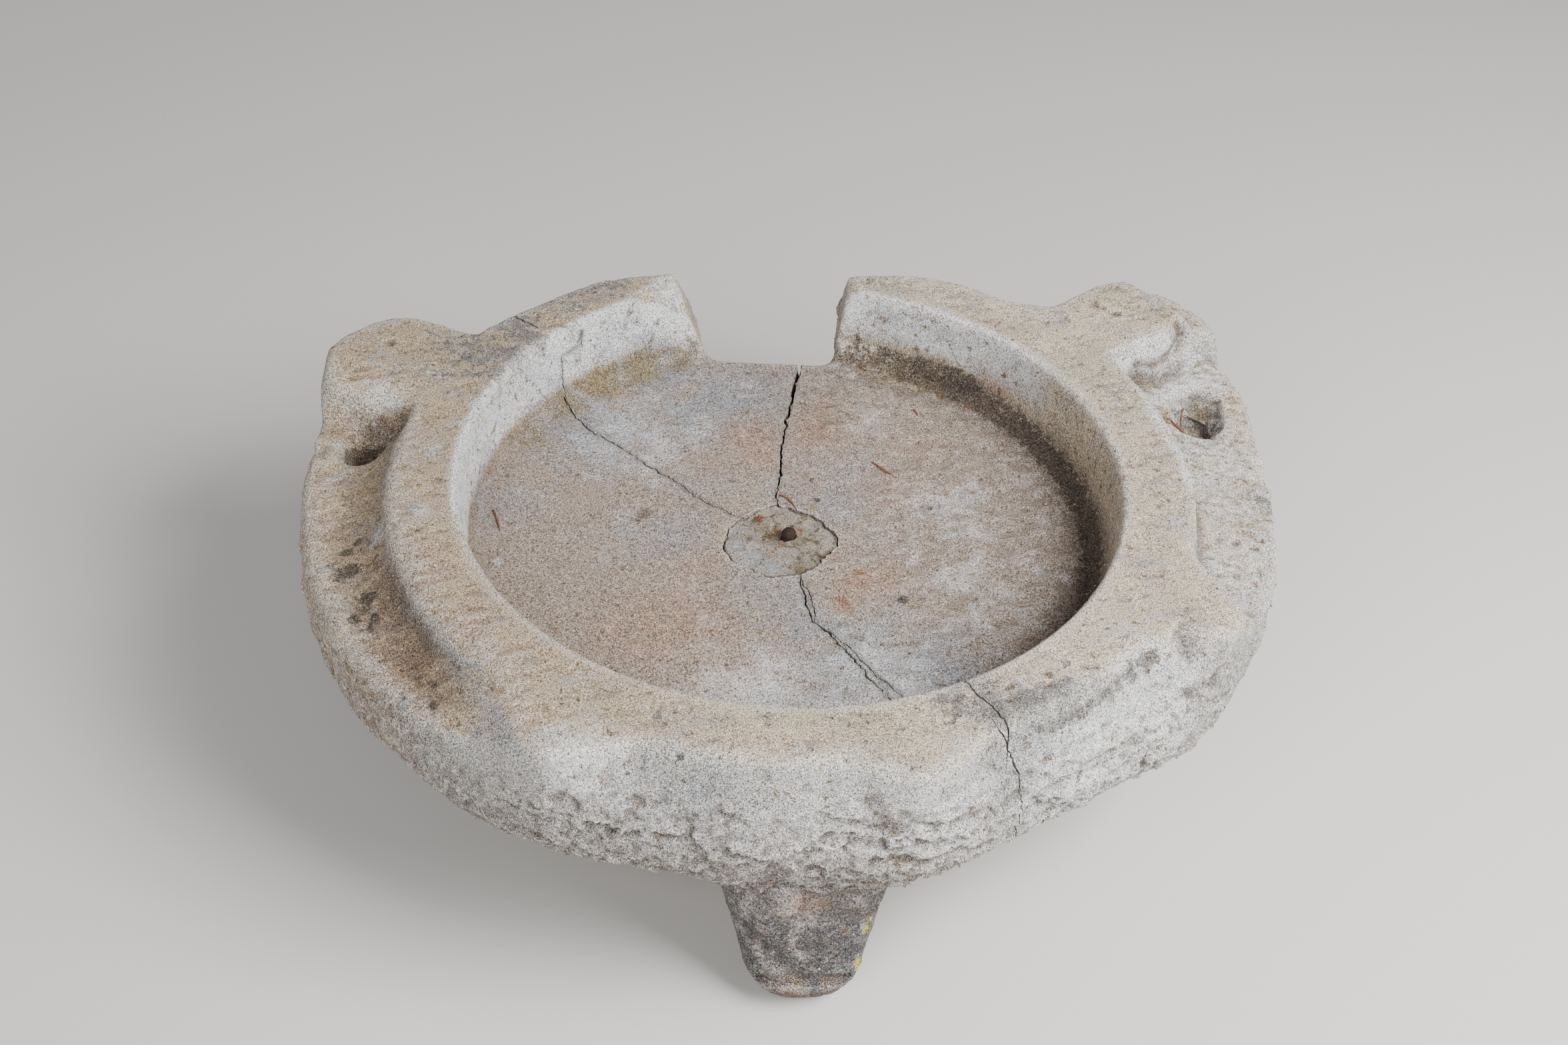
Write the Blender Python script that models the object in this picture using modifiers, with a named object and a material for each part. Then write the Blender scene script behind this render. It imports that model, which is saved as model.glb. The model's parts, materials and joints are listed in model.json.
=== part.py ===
# Bed stone of a rotary hand mill.
# One carved block: a round bowl with a raised rim, an outlet at the back, an ear on each side
# with a raised block, a low shelf and a socket, and three stub feet. The stump of an iron
# spindle stands in a mortar filling in the middle of the bowl.
# Metres, +Z up. Everything is drawn about the spindle's axis; an empty called base_centre then
# carries all of it across, so that the stone's feet stand centred on the origin.

import math

import bmesh
import bpy
from mathutils import Matrix, Vector, noise

# Bowl: the round recess that the upper stone turned in
BOWL_RADIUS = 0.230
BOWL_DEPTH = 0.057
BOWL_WALL_BATTER = 0.0045
BOWL_LIP = 0.003
BOWL_FILLET = 0.007

# Block: from the rim's top down to the underside, and the feet below it
BLOCK_THICKNESS = 0.116
FOOT_HEIGHT = 0.116

# Rim: its plain width, and where its outer edge swells or shrinks:
# (degrees from +X, swelling, half the arc in degrees)
RIM_WIDTH = 0.0506
RIM_SWELLINGS = (
    (-119.0, 0.037, 13.0),
    (-72.5, 0.023, 12.0),
    (-25.0, 0.048, 12.0),
    (88.0, -0.026, 26.0),
    (112.0, -0.012, 14.0),
    (148.0, 0.006, 14.0),
    (47.5, 0.017, 8.0),
)

# Side of the block: how far it bellies out past the rim, and its steps down to the underside:
# (share of the thickness, share of the way from crown to belly, inset)
BELLY_BULGE = 0.018
SIDE_PROFILE = (
    (0.00, 0.0, 0.0045),
    (0.04, 0.0, 0.0000),
    (0.18, 0.3, 0.0000),
    (0.36, 0.7, 0.0000),
    (0.55, 1.0, 0.0000),
    (0.72, 1.0, 0.0020),
    (0.86, 1.0, 0.0110),
    (0.96, 1.0, 0.0310),
    (1.00, 1.0, 0.0560),
)
HEWN_DEPTH = 0.0035
HEWN_LENGTH = 0.045

# Ears: the direction of each one's back face, and its reach past the rim's plain width:
# (degrees forward from the back face, reach)
LEFT_EAR_BACK = 148.3
LEFT_EAR_REACH = (
    (0, 0.006), (0.8, 0.048), (1.6, 0.061), (3.2, 0.075), (7, 0.085), (11, 0.092), (15, 0.082),
    (20, 0.073), (31, 0.066), (46, 0.060), (61, 0.053), (76, 0.044), (90, 0.038), (105, 0.026),
    (120, 0.022),
)
RIGHT_EAR_BACK = 48.2
RIGHT_EAR_REACH = (
    (0, 0.008), (0.8, 0.060), (2, 0.084), (4, 0.104), (8, 0.114), (14, 0.113), (20, 0.104),
    (28, 0.086), (36, 0.074), (48, 0.064), (60, 0.059), (68, 0.052), (79, 0.043), (85, 0.032),
    (92, 0.022), (104, 0.016), (120, 0.025), (130, 0.022),
)

# Shelves: each is cut down in front of its ear's block, from a sloping step that takes up
# SHELF_STEP_ARC degrees, and runs out at the rim's front swelling
SHELF_DROP = 0.028
SHELF_FALL = 0.011
SHELF_WALL_BATTER = 0.005
SHELF_STEP_ARC = 3.5
SHELF_START_ABOVE = 0.001
LEFT_STEP = 165.5
LEFT_SHELF_END = 244.0
RIGHT_STEP = 35.0
RIGHT_SHELF_END = -27.0

# Low strip along the outer side of the right ear's block
STRIP_DROP = 0.012
STRIP_WIDTH = 0.030
STRIP_WALL_BATTER = 0.006
STRIP_FALL = 0.004
STRIP_START = RIGHT_EAR_BACK + 4.0
STRIP_END = RIGHT_STEP - 5.0

# Sockets in the shelves: (degrees, distance from the spindle, radial size, size along the rim),
# and their steps down from the shelf: (share of the depth, share of the size)
LEFT_SOCKET = (172.0, 0.311, 0.033, 0.038)
LEFT_SOCKET_DEPTH = 0.048
RIGHT_SOCKET = (23.2, 0.329, 0.034, 0.042)
RIGHT_SOCKET_DEPTH = 0.030
SOCKET_PROFILE = ((-0.8, 1.15), (-0.1, 1.0), (0.85, 0.72), (1.0, 0.45))

# Groove in the left shelf, from the socket back to the step
CHANNEL_WIDTH = 0.014
CHANNEL_DEPTH = 0.013
CHANNEL_RUN_OUT = 0.8

# Outlet: a notch through the rim at the back, with a chute under its sill
OUTLET_TOP_X = -0.0286
OUTLET_TOP_WIDTH = 0.133
OUTLET_SILL_X = -0.0215
OUTLET_SILL_WIDTH = 0.103
OUTLET_CORNER = 0.016
OUTLET_FLARE = 0.0155
OUTLET_SKEW = -0.0105
OUTLET_SILL_Y = 0.209
CHUTE_SLOPE = math.radians(58.0)

# Feet: one in front and two behind, all the same
FOOT_COUNT = 3
FRONT_FOOT_ANGLE = -85.4
FOOT_DISTANCE = 0.236
FOOT_TOP_WIDTH = 0.124
FOOT_SOLE_WIDTH = 0.068
FOOT_TOP_DEPTH = 0.092
FOOT_SOLE_DEPTH = 0.068
FOOT_SPLAY = 0.012
FOOT_TOE = 0.008
FOOT_ROUNDING = 0.014
FOOT_ROOT = 0.025
FOOT_SQUARENESS = 2.8
SOCKET_SQUARENESS = 3.0

# Spindle stump and the mortar filling round it
SPINDLE_RADIUS = 0.0054
SPINDLE_STANDS_UP = 0.005
SPINDLE_LENGTH = 0.034
SPINDLE_DOME = 0.0032
SPINDLE_TAPER = 0.9
FILLING_RADIUS = 0.038
FILLING_CENTRE = (-0.0054, -0.0092)
FILLING_DEPTH = 0.022
FILLING_SUNK = 0.0006
FILLING_EDGE = (0.0020, 0.0012)
FILLING_TAPER = 0.003
FILLING_LOBES = ((0.023, 1, 137.0), (0.028, 2, 29.0), (0.043, 4, 7.0), (0.020, 7, 50.0))

# Cracks, in plan, as shares of the bowl's radius: three on the floor, which meet at the filling,
# then two up the bowl's wall and over the rim
CRACK_DEPTH = 0.026
CRACK_WIDTH = 0.0012
BACK_CRACK_WIDTH = 0.0026
RIM_CRACK_SIDE_DEPTH = 0.078
BACK_CRACK = (
    (0.02, 1.00), (0.015, 0.914), (-0.006, 0.731), (-0.034, 0.445), (-0.043, 0.175), (-0.035, 0.10),
)
LEFT_CRACK = (
    (-0.80, 0.62), (-0.67, 0.492), (-0.53, 0.376), (-0.47, 0.320), (-0.30, 0.171), (-0.14, 0.058),
)
LEFT_WALL_CRACK = ((-0.745, 0.575), (-0.80, 0.62), (-0.86, 0.665))
LEFT_RIM_CRACK = (
    (-1.14, 0.93), (-0.957, 0.781), (-0.853, 0.711), (-0.784, 0.72), (-0.739, 0.711),
    (-0.715, 0.665),
)
FRONT_CRACK = (
    (0.035, -0.17), (0.056, -0.30), (0.084, -0.399), (0.192, -0.534), (0.292, -0.687), (0.41, -0.91),
)
FRONT_RIM_CRACK = (
    (0.44, -0.83), (0.517, -0.922), (0.562, -0.973), (0.595, -1.03), (0.625, -1.10),
    (0.645, -1.20), (0.66, -1.45),
)

# Working values: facets round each form, the gap between touching pieces, how far cutters stand
# clear, and the extra turns that keep the ears' back faces crisp
STONE_SIDES = 160
BOWL_SIDES = 112
SHELF_SIDES = 44
SECTION_SIDES = 28
FILLING_SIDES = 48
SPINDLE_SIDES = 24
STRIP_SIDES = 4
CORNER_STEPS = 4
FOOT_LEVELS = 7
FIT_GAP = 0.0003
CLEAR = 0.010
FACE_TURNS = (-0.3, 0.3, 1.0)
SMOOTH_BELOW = math.radians(35.0)

TOP = FOOT_HEIGHT + BLOCK_THICKNESS
FLOOR = TOP - BOWL_DEPTH
UNDERSIDE = FOOT_HEIGHT
RIM_RADIUS = BOWL_RADIUS + RIM_WIDTH
SHELF_TOP = TOP - SHELF_DROP
EAR_RADIUS = RIM_RADIUS + max(reach for _, reach in RIGHT_EAR_REACH)
FILLING_TOP = FLOOR - FILLING_SUNK
SPINDLE_HEAD = FILLING_TOP + SPINDLE_STANDS_UP
SPINDLE_FOOT = SPINDLE_HEAD - SPINDLE_LENGTH
STONE_ANGLES = sorted(
    [360.0 * index / STONE_SIDES for index in range(STONE_SIDES)]
    + [LEFT_EAR_BACK + turn for turn in FACE_TURNS]
    + [RIGHT_EAR_BACK - turn for turn in FACE_TURNS]
)


def make_material(name, colour, roughness, metallic=0.0):
    material = bpy.data.materials.new(name)
    material.use_nodes = True
    shader = material.node_tree.nodes["Principled BSDF"]
    shader.inputs["Base Color"].default_value = (*colour, 1.0)
    shader.inputs["Roughness"].default_value = roughness
    shader.inputs["Metallic"].default_value = metallic
    return material


def make_collection(name):
    collection = bpy.data.collections.new(name)
    bpy.context.scene.collection.children.link(collection)
    return collection


def add_object(name, mesh, collection):
    item = bpy.data.objects.new(name, mesh)
    collection.objects.link(item)
    return item


def polar(radius, degrees, z=0.0):
    angle = math.radians(degrees)
    return Vector((radius * math.cos(angle), radius * math.sin(angle), z))


def turn_from(start, degrees):
    """Degrees from start to the given direction, between -180 and 180."""
    return (degrees - start + 180.0) % 360.0 - 180.0


def ease(share):
    share = min(max(share, 0.0), 1.0)
    return share * share * (3.0 - 2.0 * share)


def curve_through(stations, at):
    """Smooth curve through (position, value) stations, level before the first and after the last."""
    if at <= stations[0][0]:
        return stations[0][1]
    for index in range(len(stations) - 1):
        start, low = stations[index]
        end, high = stations[index + 1]
        if at <= end:
            before = stations[max(index - 1, 0)]
            after = stations[min(index + 2, len(stations) - 1)]
            slope_in = (high - before[1]) / (end - before[0])
            slope_out = (after[1] - low) / (after[0] - start)
            span = end - start
            t = (at - start) / span
            return (low * (1 + 2 * t) * (1 - t) ** 2 + high * t * t * (3 - 2 * t)
                    + span * slope_in * t * (1 - t) ** 2 - span * slope_out * t * t * (1 - t))
    return stations[-1][1]


def rim_edge(degrees):
    """Distance of the rim's outer edge from the spindle."""
    radius = RIM_RADIUS
    for centre, swelling, half_arc in RIM_SWELLINGS:
        away = abs(turn_from(centre, degrees))
        if away < half_arc:
            radius += swelling * 0.5 * (1.0 + math.cos(math.pi * away / half_arc))
    return radius


def ear_reach(degrees):
    """Reach of an ear past the rim's plain width, or nothing behind the ears."""
    left = turn_from(LEFT_EAR_BACK, degrees) % 360.0
    right = -turn_from(RIGHT_EAR_BACK, degrees) % 360.0
    if left <= LEFT_EAR_REACH[-1][0]:
        return curve_through(LEFT_EAR_REACH, left)
    if right <= RIGHT_EAR_REACH[-1][0]:
        return curve_through(RIGHT_EAR_REACH, right)
    return 0.0


def has_shelf_or_block(degrees):
    left = turn_from(LEFT_EAR_BACK, degrees) % 360.0 <= LEFT_SHELF_END - LEFT_EAR_BACK
    right = -turn_from(RIGHT_EAR_BACK, degrees) % 360.0 <= RIGHT_EAR_BACK - RIGHT_SHELF_END
    return left or right


def belly_edge(degrees):
    """Widest outline of the block's side."""
    return RIM_RADIUS + (ear_reach(degrees) or BELLY_BULGE)


def crown_edge(degrees):
    """Outline of the block's top before the shelves are cut."""
    if has_shelf_or_block(degrees):
        return max(RIM_RADIUS + ear_reach(degrees), rim_edge(degrees))
    return rim_edge(degrees)


def loft(name, rings, collection):
    """Closed body through rings of equally many points, from the top ring to the bottom one."""
    body = bmesh.new()
    rows = [[body.verts.new(point) for point in ring] for ring in rings]
    count = len(rows[0])
    for upper, lower in zip(rows, rows[1:]):
        for index in range(count):
            after = (index + 1) % count
            body.faces.new((upper[index], lower[index], lower[after], upper[after]))
    body.faces.new(rows[0])
    body.faces.new(list(reversed(rows[-1])))
    bmesh.ops.recalc_face_normals(body, faces=body.faces)
    mesh = bpy.data.meshes.new(name)
    body.to_mesh(mesh)
    body.free()
    return add_object(name, mesh, collection)


def hide_cutter(cutter):
    cutter.hide_render = True
    cutter.display_type = "WIRE"
    return cutter


def combine(target, other, operation):
    modifier = target.modifiers.new(f"{operation.lower()} {other.name}", "BOOLEAN")
    modifier.operation = operation
    modifier.solver = "EXACT"
    modifier.object = other
    hide_cutter(other)


def side_ring(depth_share, belly_share, inset):
    """One outline of the block's side, hewn where it is below the crown."""
    z = TOP - depth_share * BLOCK_THICKNESS
    ring = []
    for degrees in STONE_ANGLES:
        crown = crown_edge(degrees)
        radius = crown + belly_share * (belly_edge(degrees) - crown) - inset
        point = polar(radius, degrees, z)
        hewn = noise.noise(point / HEWN_LENGTH) + 0.5 * noise.noise(point * 2.3 / HEWN_LENGTH)
        ring.append(polar(radius + HEWN_DEPTH * hewn * ease(depth_share / 0.2), degrees, z))
    return ring


def make_block(collection):
    rings = [side_ring(*step) for step in SIDE_PROFILE]
    return loft("bed_stone", rings, collection)


def turn_profile(name, profile, sides, collection):
    """Turned body from a profile of (distance from the axis, height), top to bottom."""
    mesh = bpy.data.meshes.new(name)
    edges = [(index, index + 1) for index in range(len(profile) - 1)]
    mesh.from_pydata([(x, 0.0, z) for x, z in profile], edges, [])
    turned = add_object(name, mesh, collection)
    turn = turned.modifiers.new("turn", "SCREW")
    turn.steps = sides
    turn.render_steps = sides
    turn.use_merge_vertices = True
    turn.merge_threshold = 0.0001
    return turned


def make_bowl_cutter(cutters):
    """Straight battered wall, eased lip and a fillet at the floor."""
    floor_radius = BOWL_RADIUS - BOWL_WALL_BATTER
    profile = [
        (0.0, TOP + CLEAR),
        (BOWL_RADIUS + 3.0 * BOWL_LIP, TOP + CLEAR),
        (BOWL_RADIUS + BOWL_LIP, TOP),
        (BOWL_RADIUS, TOP - BOWL_LIP),
    ]
    for step in range(CORNER_STEPS):
        angle = math.radians(90.0 * step / (CORNER_STEPS - 1))
        x = floor_radius - BOWL_FILLET * (1.0 - math.cos(angle))
        z = FLOOR + BOWL_FILLET * (1.0 - math.sin(angle))
        profile.append((x, z))
    profile.append((0.0, FLOOR))
    return turn_profile("bowl_cutter", profile, BOWL_SIDES, cutters)


def make_shelf_cutter(name, step, end, cutters):
    """Sector outside the rim, from the sloping step at the ear's block round to its front end."""
    outer = EAR_RADIUS + CLEAR
    sections = []
    for index in range(SHELF_SIDES + 1):
        turned = (end - step) * (index / SHELF_SIDES) ** 1.25
        degrees = step + turned
        down = ease(abs(turned) / SHELF_STEP_ARC)
        drop = (SHELF_DROP + SHELF_START_ABOVE) * down - SHELF_START_ABOVE
        inner = rim_edge(degrees)
        sections.append([
            polar(inner, degrees, TOP + CLEAR),
            polar(inner, degrees, TOP),
            polar(inner + SHELF_WALL_BATTER, degrees, TOP - drop),
            polar(outer, degrees, TOP - drop - SHELF_FALL * down),
            polar(outer, degrees, TOP + CLEAR),
        ])
    return loft(name, sections, cutters)


def make_strip_cutter(cutters):
    """Low strip outside the right ear's block, from behind its back face to the shelf's step."""
    inner = EAR_RADIUS - STRIP_WIDTH
    outer = EAR_RADIUS + CLEAR
    sections = []
    for index in range(STRIP_SIDES + 1):
        degrees = STRIP_START + (STRIP_END - STRIP_START) * index / STRIP_SIDES
        sections.append([
            polar(inner, degrees, TOP + CLEAR),
            polar(inner + STRIP_WALL_BATTER, degrees, TOP - STRIP_DROP),
            polar(outer, degrees, TOP - STRIP_DROP - STRIP_FALL),
            polar(outer, degrees, TOP + CLEAR),
        ])
    return loft("right_strip_cutter", sections, cutters)


def rounded_section(centre, radial_size, cross_size, degrees, z, squareness):
    """Rounded rectangle, level, with one side pointing away from the spindle."""
    outward = polar(1.0, degrees)
    across = polar(1.0, degrees + 90.0)
    points = []
    for index in range(SECTION_SIDES):
        angle = math.tau * index / SECTION_SIDES
        cosine = math.cos(angle)
        sine = math.sin(angle)
        u = math.copysign(abs(cosine) ** (2.0 / squareness), cosine) * radial_size / 2.0
        v = math.copysign(abs(sine) ** (2.0 / squareness), sine) * cross_size / 2.0
        point = centre + outward * u + across * v
        point.z = z
        points.append(point)
    return points


def make_socket_cutter(name, socket, depth, cutters):
    """Tapered socket in a shelf, open at the top."""
    degrees, distance, radial_size, cross_size = socket
    centre = polar(distance, degrees)
    rings = []
    for down, share in SOCKET_PROFILE:
        z = SHELF_TOP - depth * down
        radial = radial_size * share
        across = cross_size * share
        rings.append(rounded_section(centre, radial, across, degrees, z, SOCKET_SQUARENESS))
    return loft(name, rings, cutters)


def make_channel_cutter(cutters):
    """Groove in the left shelf, along the foot of the rim's wall, shallower towards the step."""
    start = LEFT_SOCKET[0]
    sections = []
    for index in range(CORNER_STEPS + 1):
        share = index / CORNER_STEPS
        degrees = start + (LEFT_STEP + 1.0 - start) * share
        inner = rim_edge(degrees)
        outer = inner + CHANNEL_WIDTH
        deep = CHANNEL_DEPTH * (1.0 - CHANNEL_RUN_OUT * share)
        sections.append([
            polar(inner, degrees, TOP - SHELF_WALL_BATTER),
            polar(inner + 0.3 * CHANNEL_WIDTH, degrees, SHELF_TOP - deep),
            polar(inner + 0.7 * CHANNEL_WIDTH, degrees, SHELF_TOP - deep),
            polar(outer, degrees, SHELF_TOP + SHELF_WALL_BATTER),
            polar(outer, degrees, TOP - SHELF_WALL_BATTER),
        ])
    return loft("left_channel_cutter", sections, cutters)


def make_outlet_cutter(cutters):
    """Notch through the rim with leaning jambs, and the chute that drops away from its sill."""
    back = RIM_RADIUS + 0.080
    rings = []
    for z in (TOP + CLEAR, TOP, FLOOR + BOWL_LIP, UNDERSIDE - CLEAR):
        share = max((z - FLOOR) / BOWL_DEPTH, 0.0)
        middle = OUTLET_SILL_X + (OUTLET_TOP_X - OUTLET_SILL_X) * share
        half = (OUTLET_SILL_WIDTH + (OUTLET_TOP_WIDTH - OUTLET_SILL_WIDTH) * share) / 2.0
        front = OUTLET_SILL_Y + (FLOOR - min(z, FLOOR + BOWL_LIP)) / math.tan(CHUTE_SLOPE)
        ring = [
            Vector((middle + OUTLET_SKEW + half + OUTLET_FLARE, back, z)),
            Vector((middle + OUTLET_SKEW - half - OUTLET_FLARE, back, z)),
        ]
        for side, first in ((-1.0, 0), (1.0, CORNER_STEPS)):
            for step in range(CORNER_STEPS + 1):
                turn = math.radians(90.0 * abs(first - step) / CORNER_STEPS)
                x = middle + side * (half - OUTLET_CORNER * (1.0 - math.cos(turn)))
                y = front + OUTLET_CORNER * (1.0 - math.sin(turn))
                ring.append(Vector((x, y, z)))
        rings.append(ring)
    return loft("outlet_cutter", rings, cutters)


def make_foot(name, degrees, collection):
    """Tapered stub foot that leans out a little and ends in a blunt toe with a flat sole."""
    rings = []
    for index in range(FOOT_LEVELS):
        z = (UNDERSIDE + FOOT_ROOT) * (1.0 - index / (FOOT_LEVELS - 1))
        down = (UNDERSIDE - z) / UNDERSIDE
        width = FOOT_TOP_WIDTH + (FOOT_SOLE_WIDTH - FOOT_TOP_WIDTH) * down
        depth = FOOT_TOP_DEPTH + (FOOT_SOLE_DEPTH - FOOT_TOP_DEPTH) * down
        distance = FOOT_DISTANCE + FOOT_SPLAY * down
        if index == FOOT_LEVELS - 2:
            depth += FOOT_TOE
            distance += FOOT_TOE / 2.0
        if index == FOOT_LEVELS - 1:
            depth -= FOOT_ROUNDING
            width -= FOOT_ROUNDING
        centre = polar(distance, degrees)
        rings.append(rounded_section(centre, depth, width, degrees, z, FOOT_SQUARENESS))
    return loft(name, rings, collection)


def make_crack_cutter(name, plan, top, depth, width, cutters):
    """Thin wedge along a line in plan, open at the top and nearly closed below."""
    line = [Vector((x * BOWL_RADIUS, y * BOWL_RADIUS, top)) for x, y in plan]
    deep = Vector((0.0, 0.0, -depth))
    sections = []
    for index, point in enumerate(line):
        before = line[max(index - 1, 0)]
        after = line[min(index + 1, len(line) - 1)]
        along = (after - before).normalized()
        aside = Vector((-along.y, along.x, 0.0)) * width / 2.0
        sections.append([
            point + aside,
            point - aside,
            point - 0.1 * aside + deep,
            point + 0.1 * aside + deep,
        ])
    return loft(name, sections, cutters)


def make_crack_cutters(cutters):
    over_floor = FLOOR + CLEAR
    under_rim = TOP - CLEAR
    over_rim = TOP + CLEAR
    deep = CRACK_DEPTH + CLEAR
    side_deep = RIM_CRACK_SIDE_DEPTH + CLEAR
    thin = CRACK_WIDTH
    return [
        make_crack_cutter("back_crack", BACK_CRACK, over_floor, deep, BACK_CRACK_WIDTH, cutters),
        make_crack_cutter("left_crack", LEFT_CRACK, over_floor, deep, thin, cutters),
        make_crack_cutter("front_crack", FRONT_CRACK, over_floor, deep, thin, cutters),
        make_crack_cutter("left_wall_crack", LEFT_WALL_CRACK, under_rim, BOWL_DEPTH, thin, cutters),
        make_crack_cutter("left_rim_crack", LEFT_RIM_CRACK, over_rim, deep, thin, cutters),
        make_crack_cutter("front_rim_crack", FRONT_RIM_CRACK, over_rim, side_deep, thin, cutters),
    ]


def filling_edge(degrees):
    """Uneven outline of the mortar filling round the spindle."""
    radius = FILLING_RADIUS
    for share, lobes, turned in FILLING_LOBES:
        radius += FILLING_RADIUS * share * math.cos(math.radians(lobes * (degrees - turned)))
    return radius


def filling_ring(z, inset):
    centre = Vector((*FILLING_CENTRE, 0.0))
    turns = [360.0 * index / FILLING_SIDES for index in range(FILLING_SIDES)]
    return [centre + polar(filling_edge(degrees) - inset, degrees, z) for degrees in turns]


def make_filling(collection):
    """Mortar plug with a worn upper edge, narrower towards its bottom."""
    inset, drop = FILLING_EDGE
    rings = [
        filling_ring(FILLING_TOP, inset),
        filling_ring(FILLING_TOP - drop, 0.0),
        filling_ring(FLOOR - FILLING_DEPTH, FILLING_TAPER),
    ]
    return loft("spindle_filling", rings, collection)


def make_filling_pit(cutters):
    """Recess for the filling, with a narrow splay round its mouth."""
    inset, drop = FILLING_EDGE
    rings = [
        filling_ring(FLOOR + inset, -FIT_GAP - drop),
        filling_ring(FLOOR - drop, -FIT_GAP),
        filling_ring(FLOOR - FILLING_DEPTH - FIT_GAP, FILLING_TAPER - FIT_GAP),
    ]
    return loft("filling_pit_cutter", rings, cutters)


def make_spindle(collection):
    """Broken iron stump with a worn, domed head."""
    profile = []
    for step in range(CORNER_STEPS + 1):
        angle = math.radians(90.0 * step / CORNER_STEPS)
        x = SPINDLE_RADIUS * math.sin(angle)
        z = SPINDLE_HEAD - SPINDLE_DOME * (1.0 - math.cos(angle))
        profile.append((x, z))
    profile += [(SPINDLE_RADIUS * SPINDLE_TAPER, SPINDLE_FOOT), (0.0, SPINDLE_FOOT)]
    return turn_profile("spindle_stump", profile, SPINDLE_SIDES, collection)


def make_spindle_hole(name, cutters):
    """Cylinder a fit gap wider and deeper than the stump."""
    bottom = SPINDLE_FOOT - FIT_GAP
    height = FLOOR + CLEAR - bottom
    radius = SPINDLE_RADIUS + FIT_GAP
    body = bmesh.new()
    bmesh.ops.create_cone(
        body, cap_ends=True, segments=SPINDLE_SIDES, radius1=radius, radius2=radius, depth=height,
        matrix=Matrix.Translation((0.0, 0.0, bottom + height / 2.0)),
    )
    mesh = bpy.data.meshes.new(name)
    body.to_mesh(mesh)
    body.free()
    return add_object(name, mesh, cutters)


def apply_modifiers(items):
    """Swap each object's mesh for the finished one, with its Booleans worked in."""
    graph = bpy.context.evaluated_depsgraph_get()
    finished = [bpy.data.meshes.new_from_object(item.evaluated_get(graph)) for item in items]
    for item, mesh in zip(items, finished):
        item.modifiers.clear()
        item.data = mesh


def stand_on_origin(stone, collections):
    """Move everything by one parent, so that the stone's base is centred on the origin."""
    corners = [vertex.co for vertex in stone.data.vertices]
    base = bpy.data.objects.new("base_centre", None)
    bpy.context.scene.collection.objects.link(base)
    for collection in collections:
        for item in collection.objects:
            item.parent = base
    base.location.x = -(min(co.x for co in corners) + max(co.x for co in corners)) / 2.0
    base.location.y = -(min(co.y for co in corners) + max(co.y for co in corners)) / 2.0


def main():
    for item in list(bpy.data.objects):
        bpy.data.objects.remove(item, do_unlink=True)

    millstone = make_collection("millstone")
    cutters = make_collection("cutters")
    stone_material = make_material("pale_sandstone", (0.55, 0.48, 0.41), 0.92)
    mortar_material = make_material("grey_mortar", (0.42, 0.38, 0.34), 0.95)
    iron_material = make_material("rusted_iron", (0.09, 0.06, 0.05), 0.7, 0.4)

    stone = make_block(millstone)
    for index in range(FOOT_COUNT):
        degrees = FRONT_FOOT_ANGLE + 360.0 * index / FOOT_COUNT
        combine(stone, make_foot(f"foot_form_{index + 1}", degrees, cutters), "UNION")
    hollows = [
        make_bowl_cutter(cutters),
        make_shelf_cutter("left_shelf_cutter", LEFT_STEP, LEFT_SHELF_END, cutters),
        make_shelf_cutter("right_shelf_cutter", RIGHT_STEP, RIGHT_SHELF_END, cutters),
        make_strip_cutter(cutters),
        make_outlet_cutter(cutters),
        make_socket_cutter("left_socket_cutter", LEFT_SOCKET, LEFT_SOCKET_DEPTH, cutters),
        make_socket_cutter("right_socket_cutter", RIGHT_SOCKET, RIGHT_SOCKET_DEPTH, cutters),
        make_channel_cutter(cutters),
        *make_crack_cutters(cutters),
        make_filling_pit(cutters),
        make_spindle_hole("spindle_pit_cutter", cutters),
    ]
    for hollow in hollows:
        combine(stone, hollow, "DIFFERENCE")
    stone.data.materials.append(stone_material)

    filling = make_filling(millstone)
    combine(filling, make_spindle_hole("spindle_hole_cutter", cutters), "DIFFERENCE")
    filling.data.materials.append(mortar_material)

    spindle = make_spindle(millstone)
    spindle.data.materials.append(iron_material)

    apply_modifiers(millstone.objects)
    for item in millstone.objects:
        item.data.shade_smooth()
        item.data.set_sharp_from_angle(angle=SMOOTH_BELOW)
    stand_on_origin(stone, (millstone, cutters))


main()
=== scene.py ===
"""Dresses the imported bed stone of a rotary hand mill: pecked sandstone with its wear, stains and
cracks, the mortar filling in its bowl, the rusted spindle stump and some fallen needles.
Metres, +Z up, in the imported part's frame."""

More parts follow.
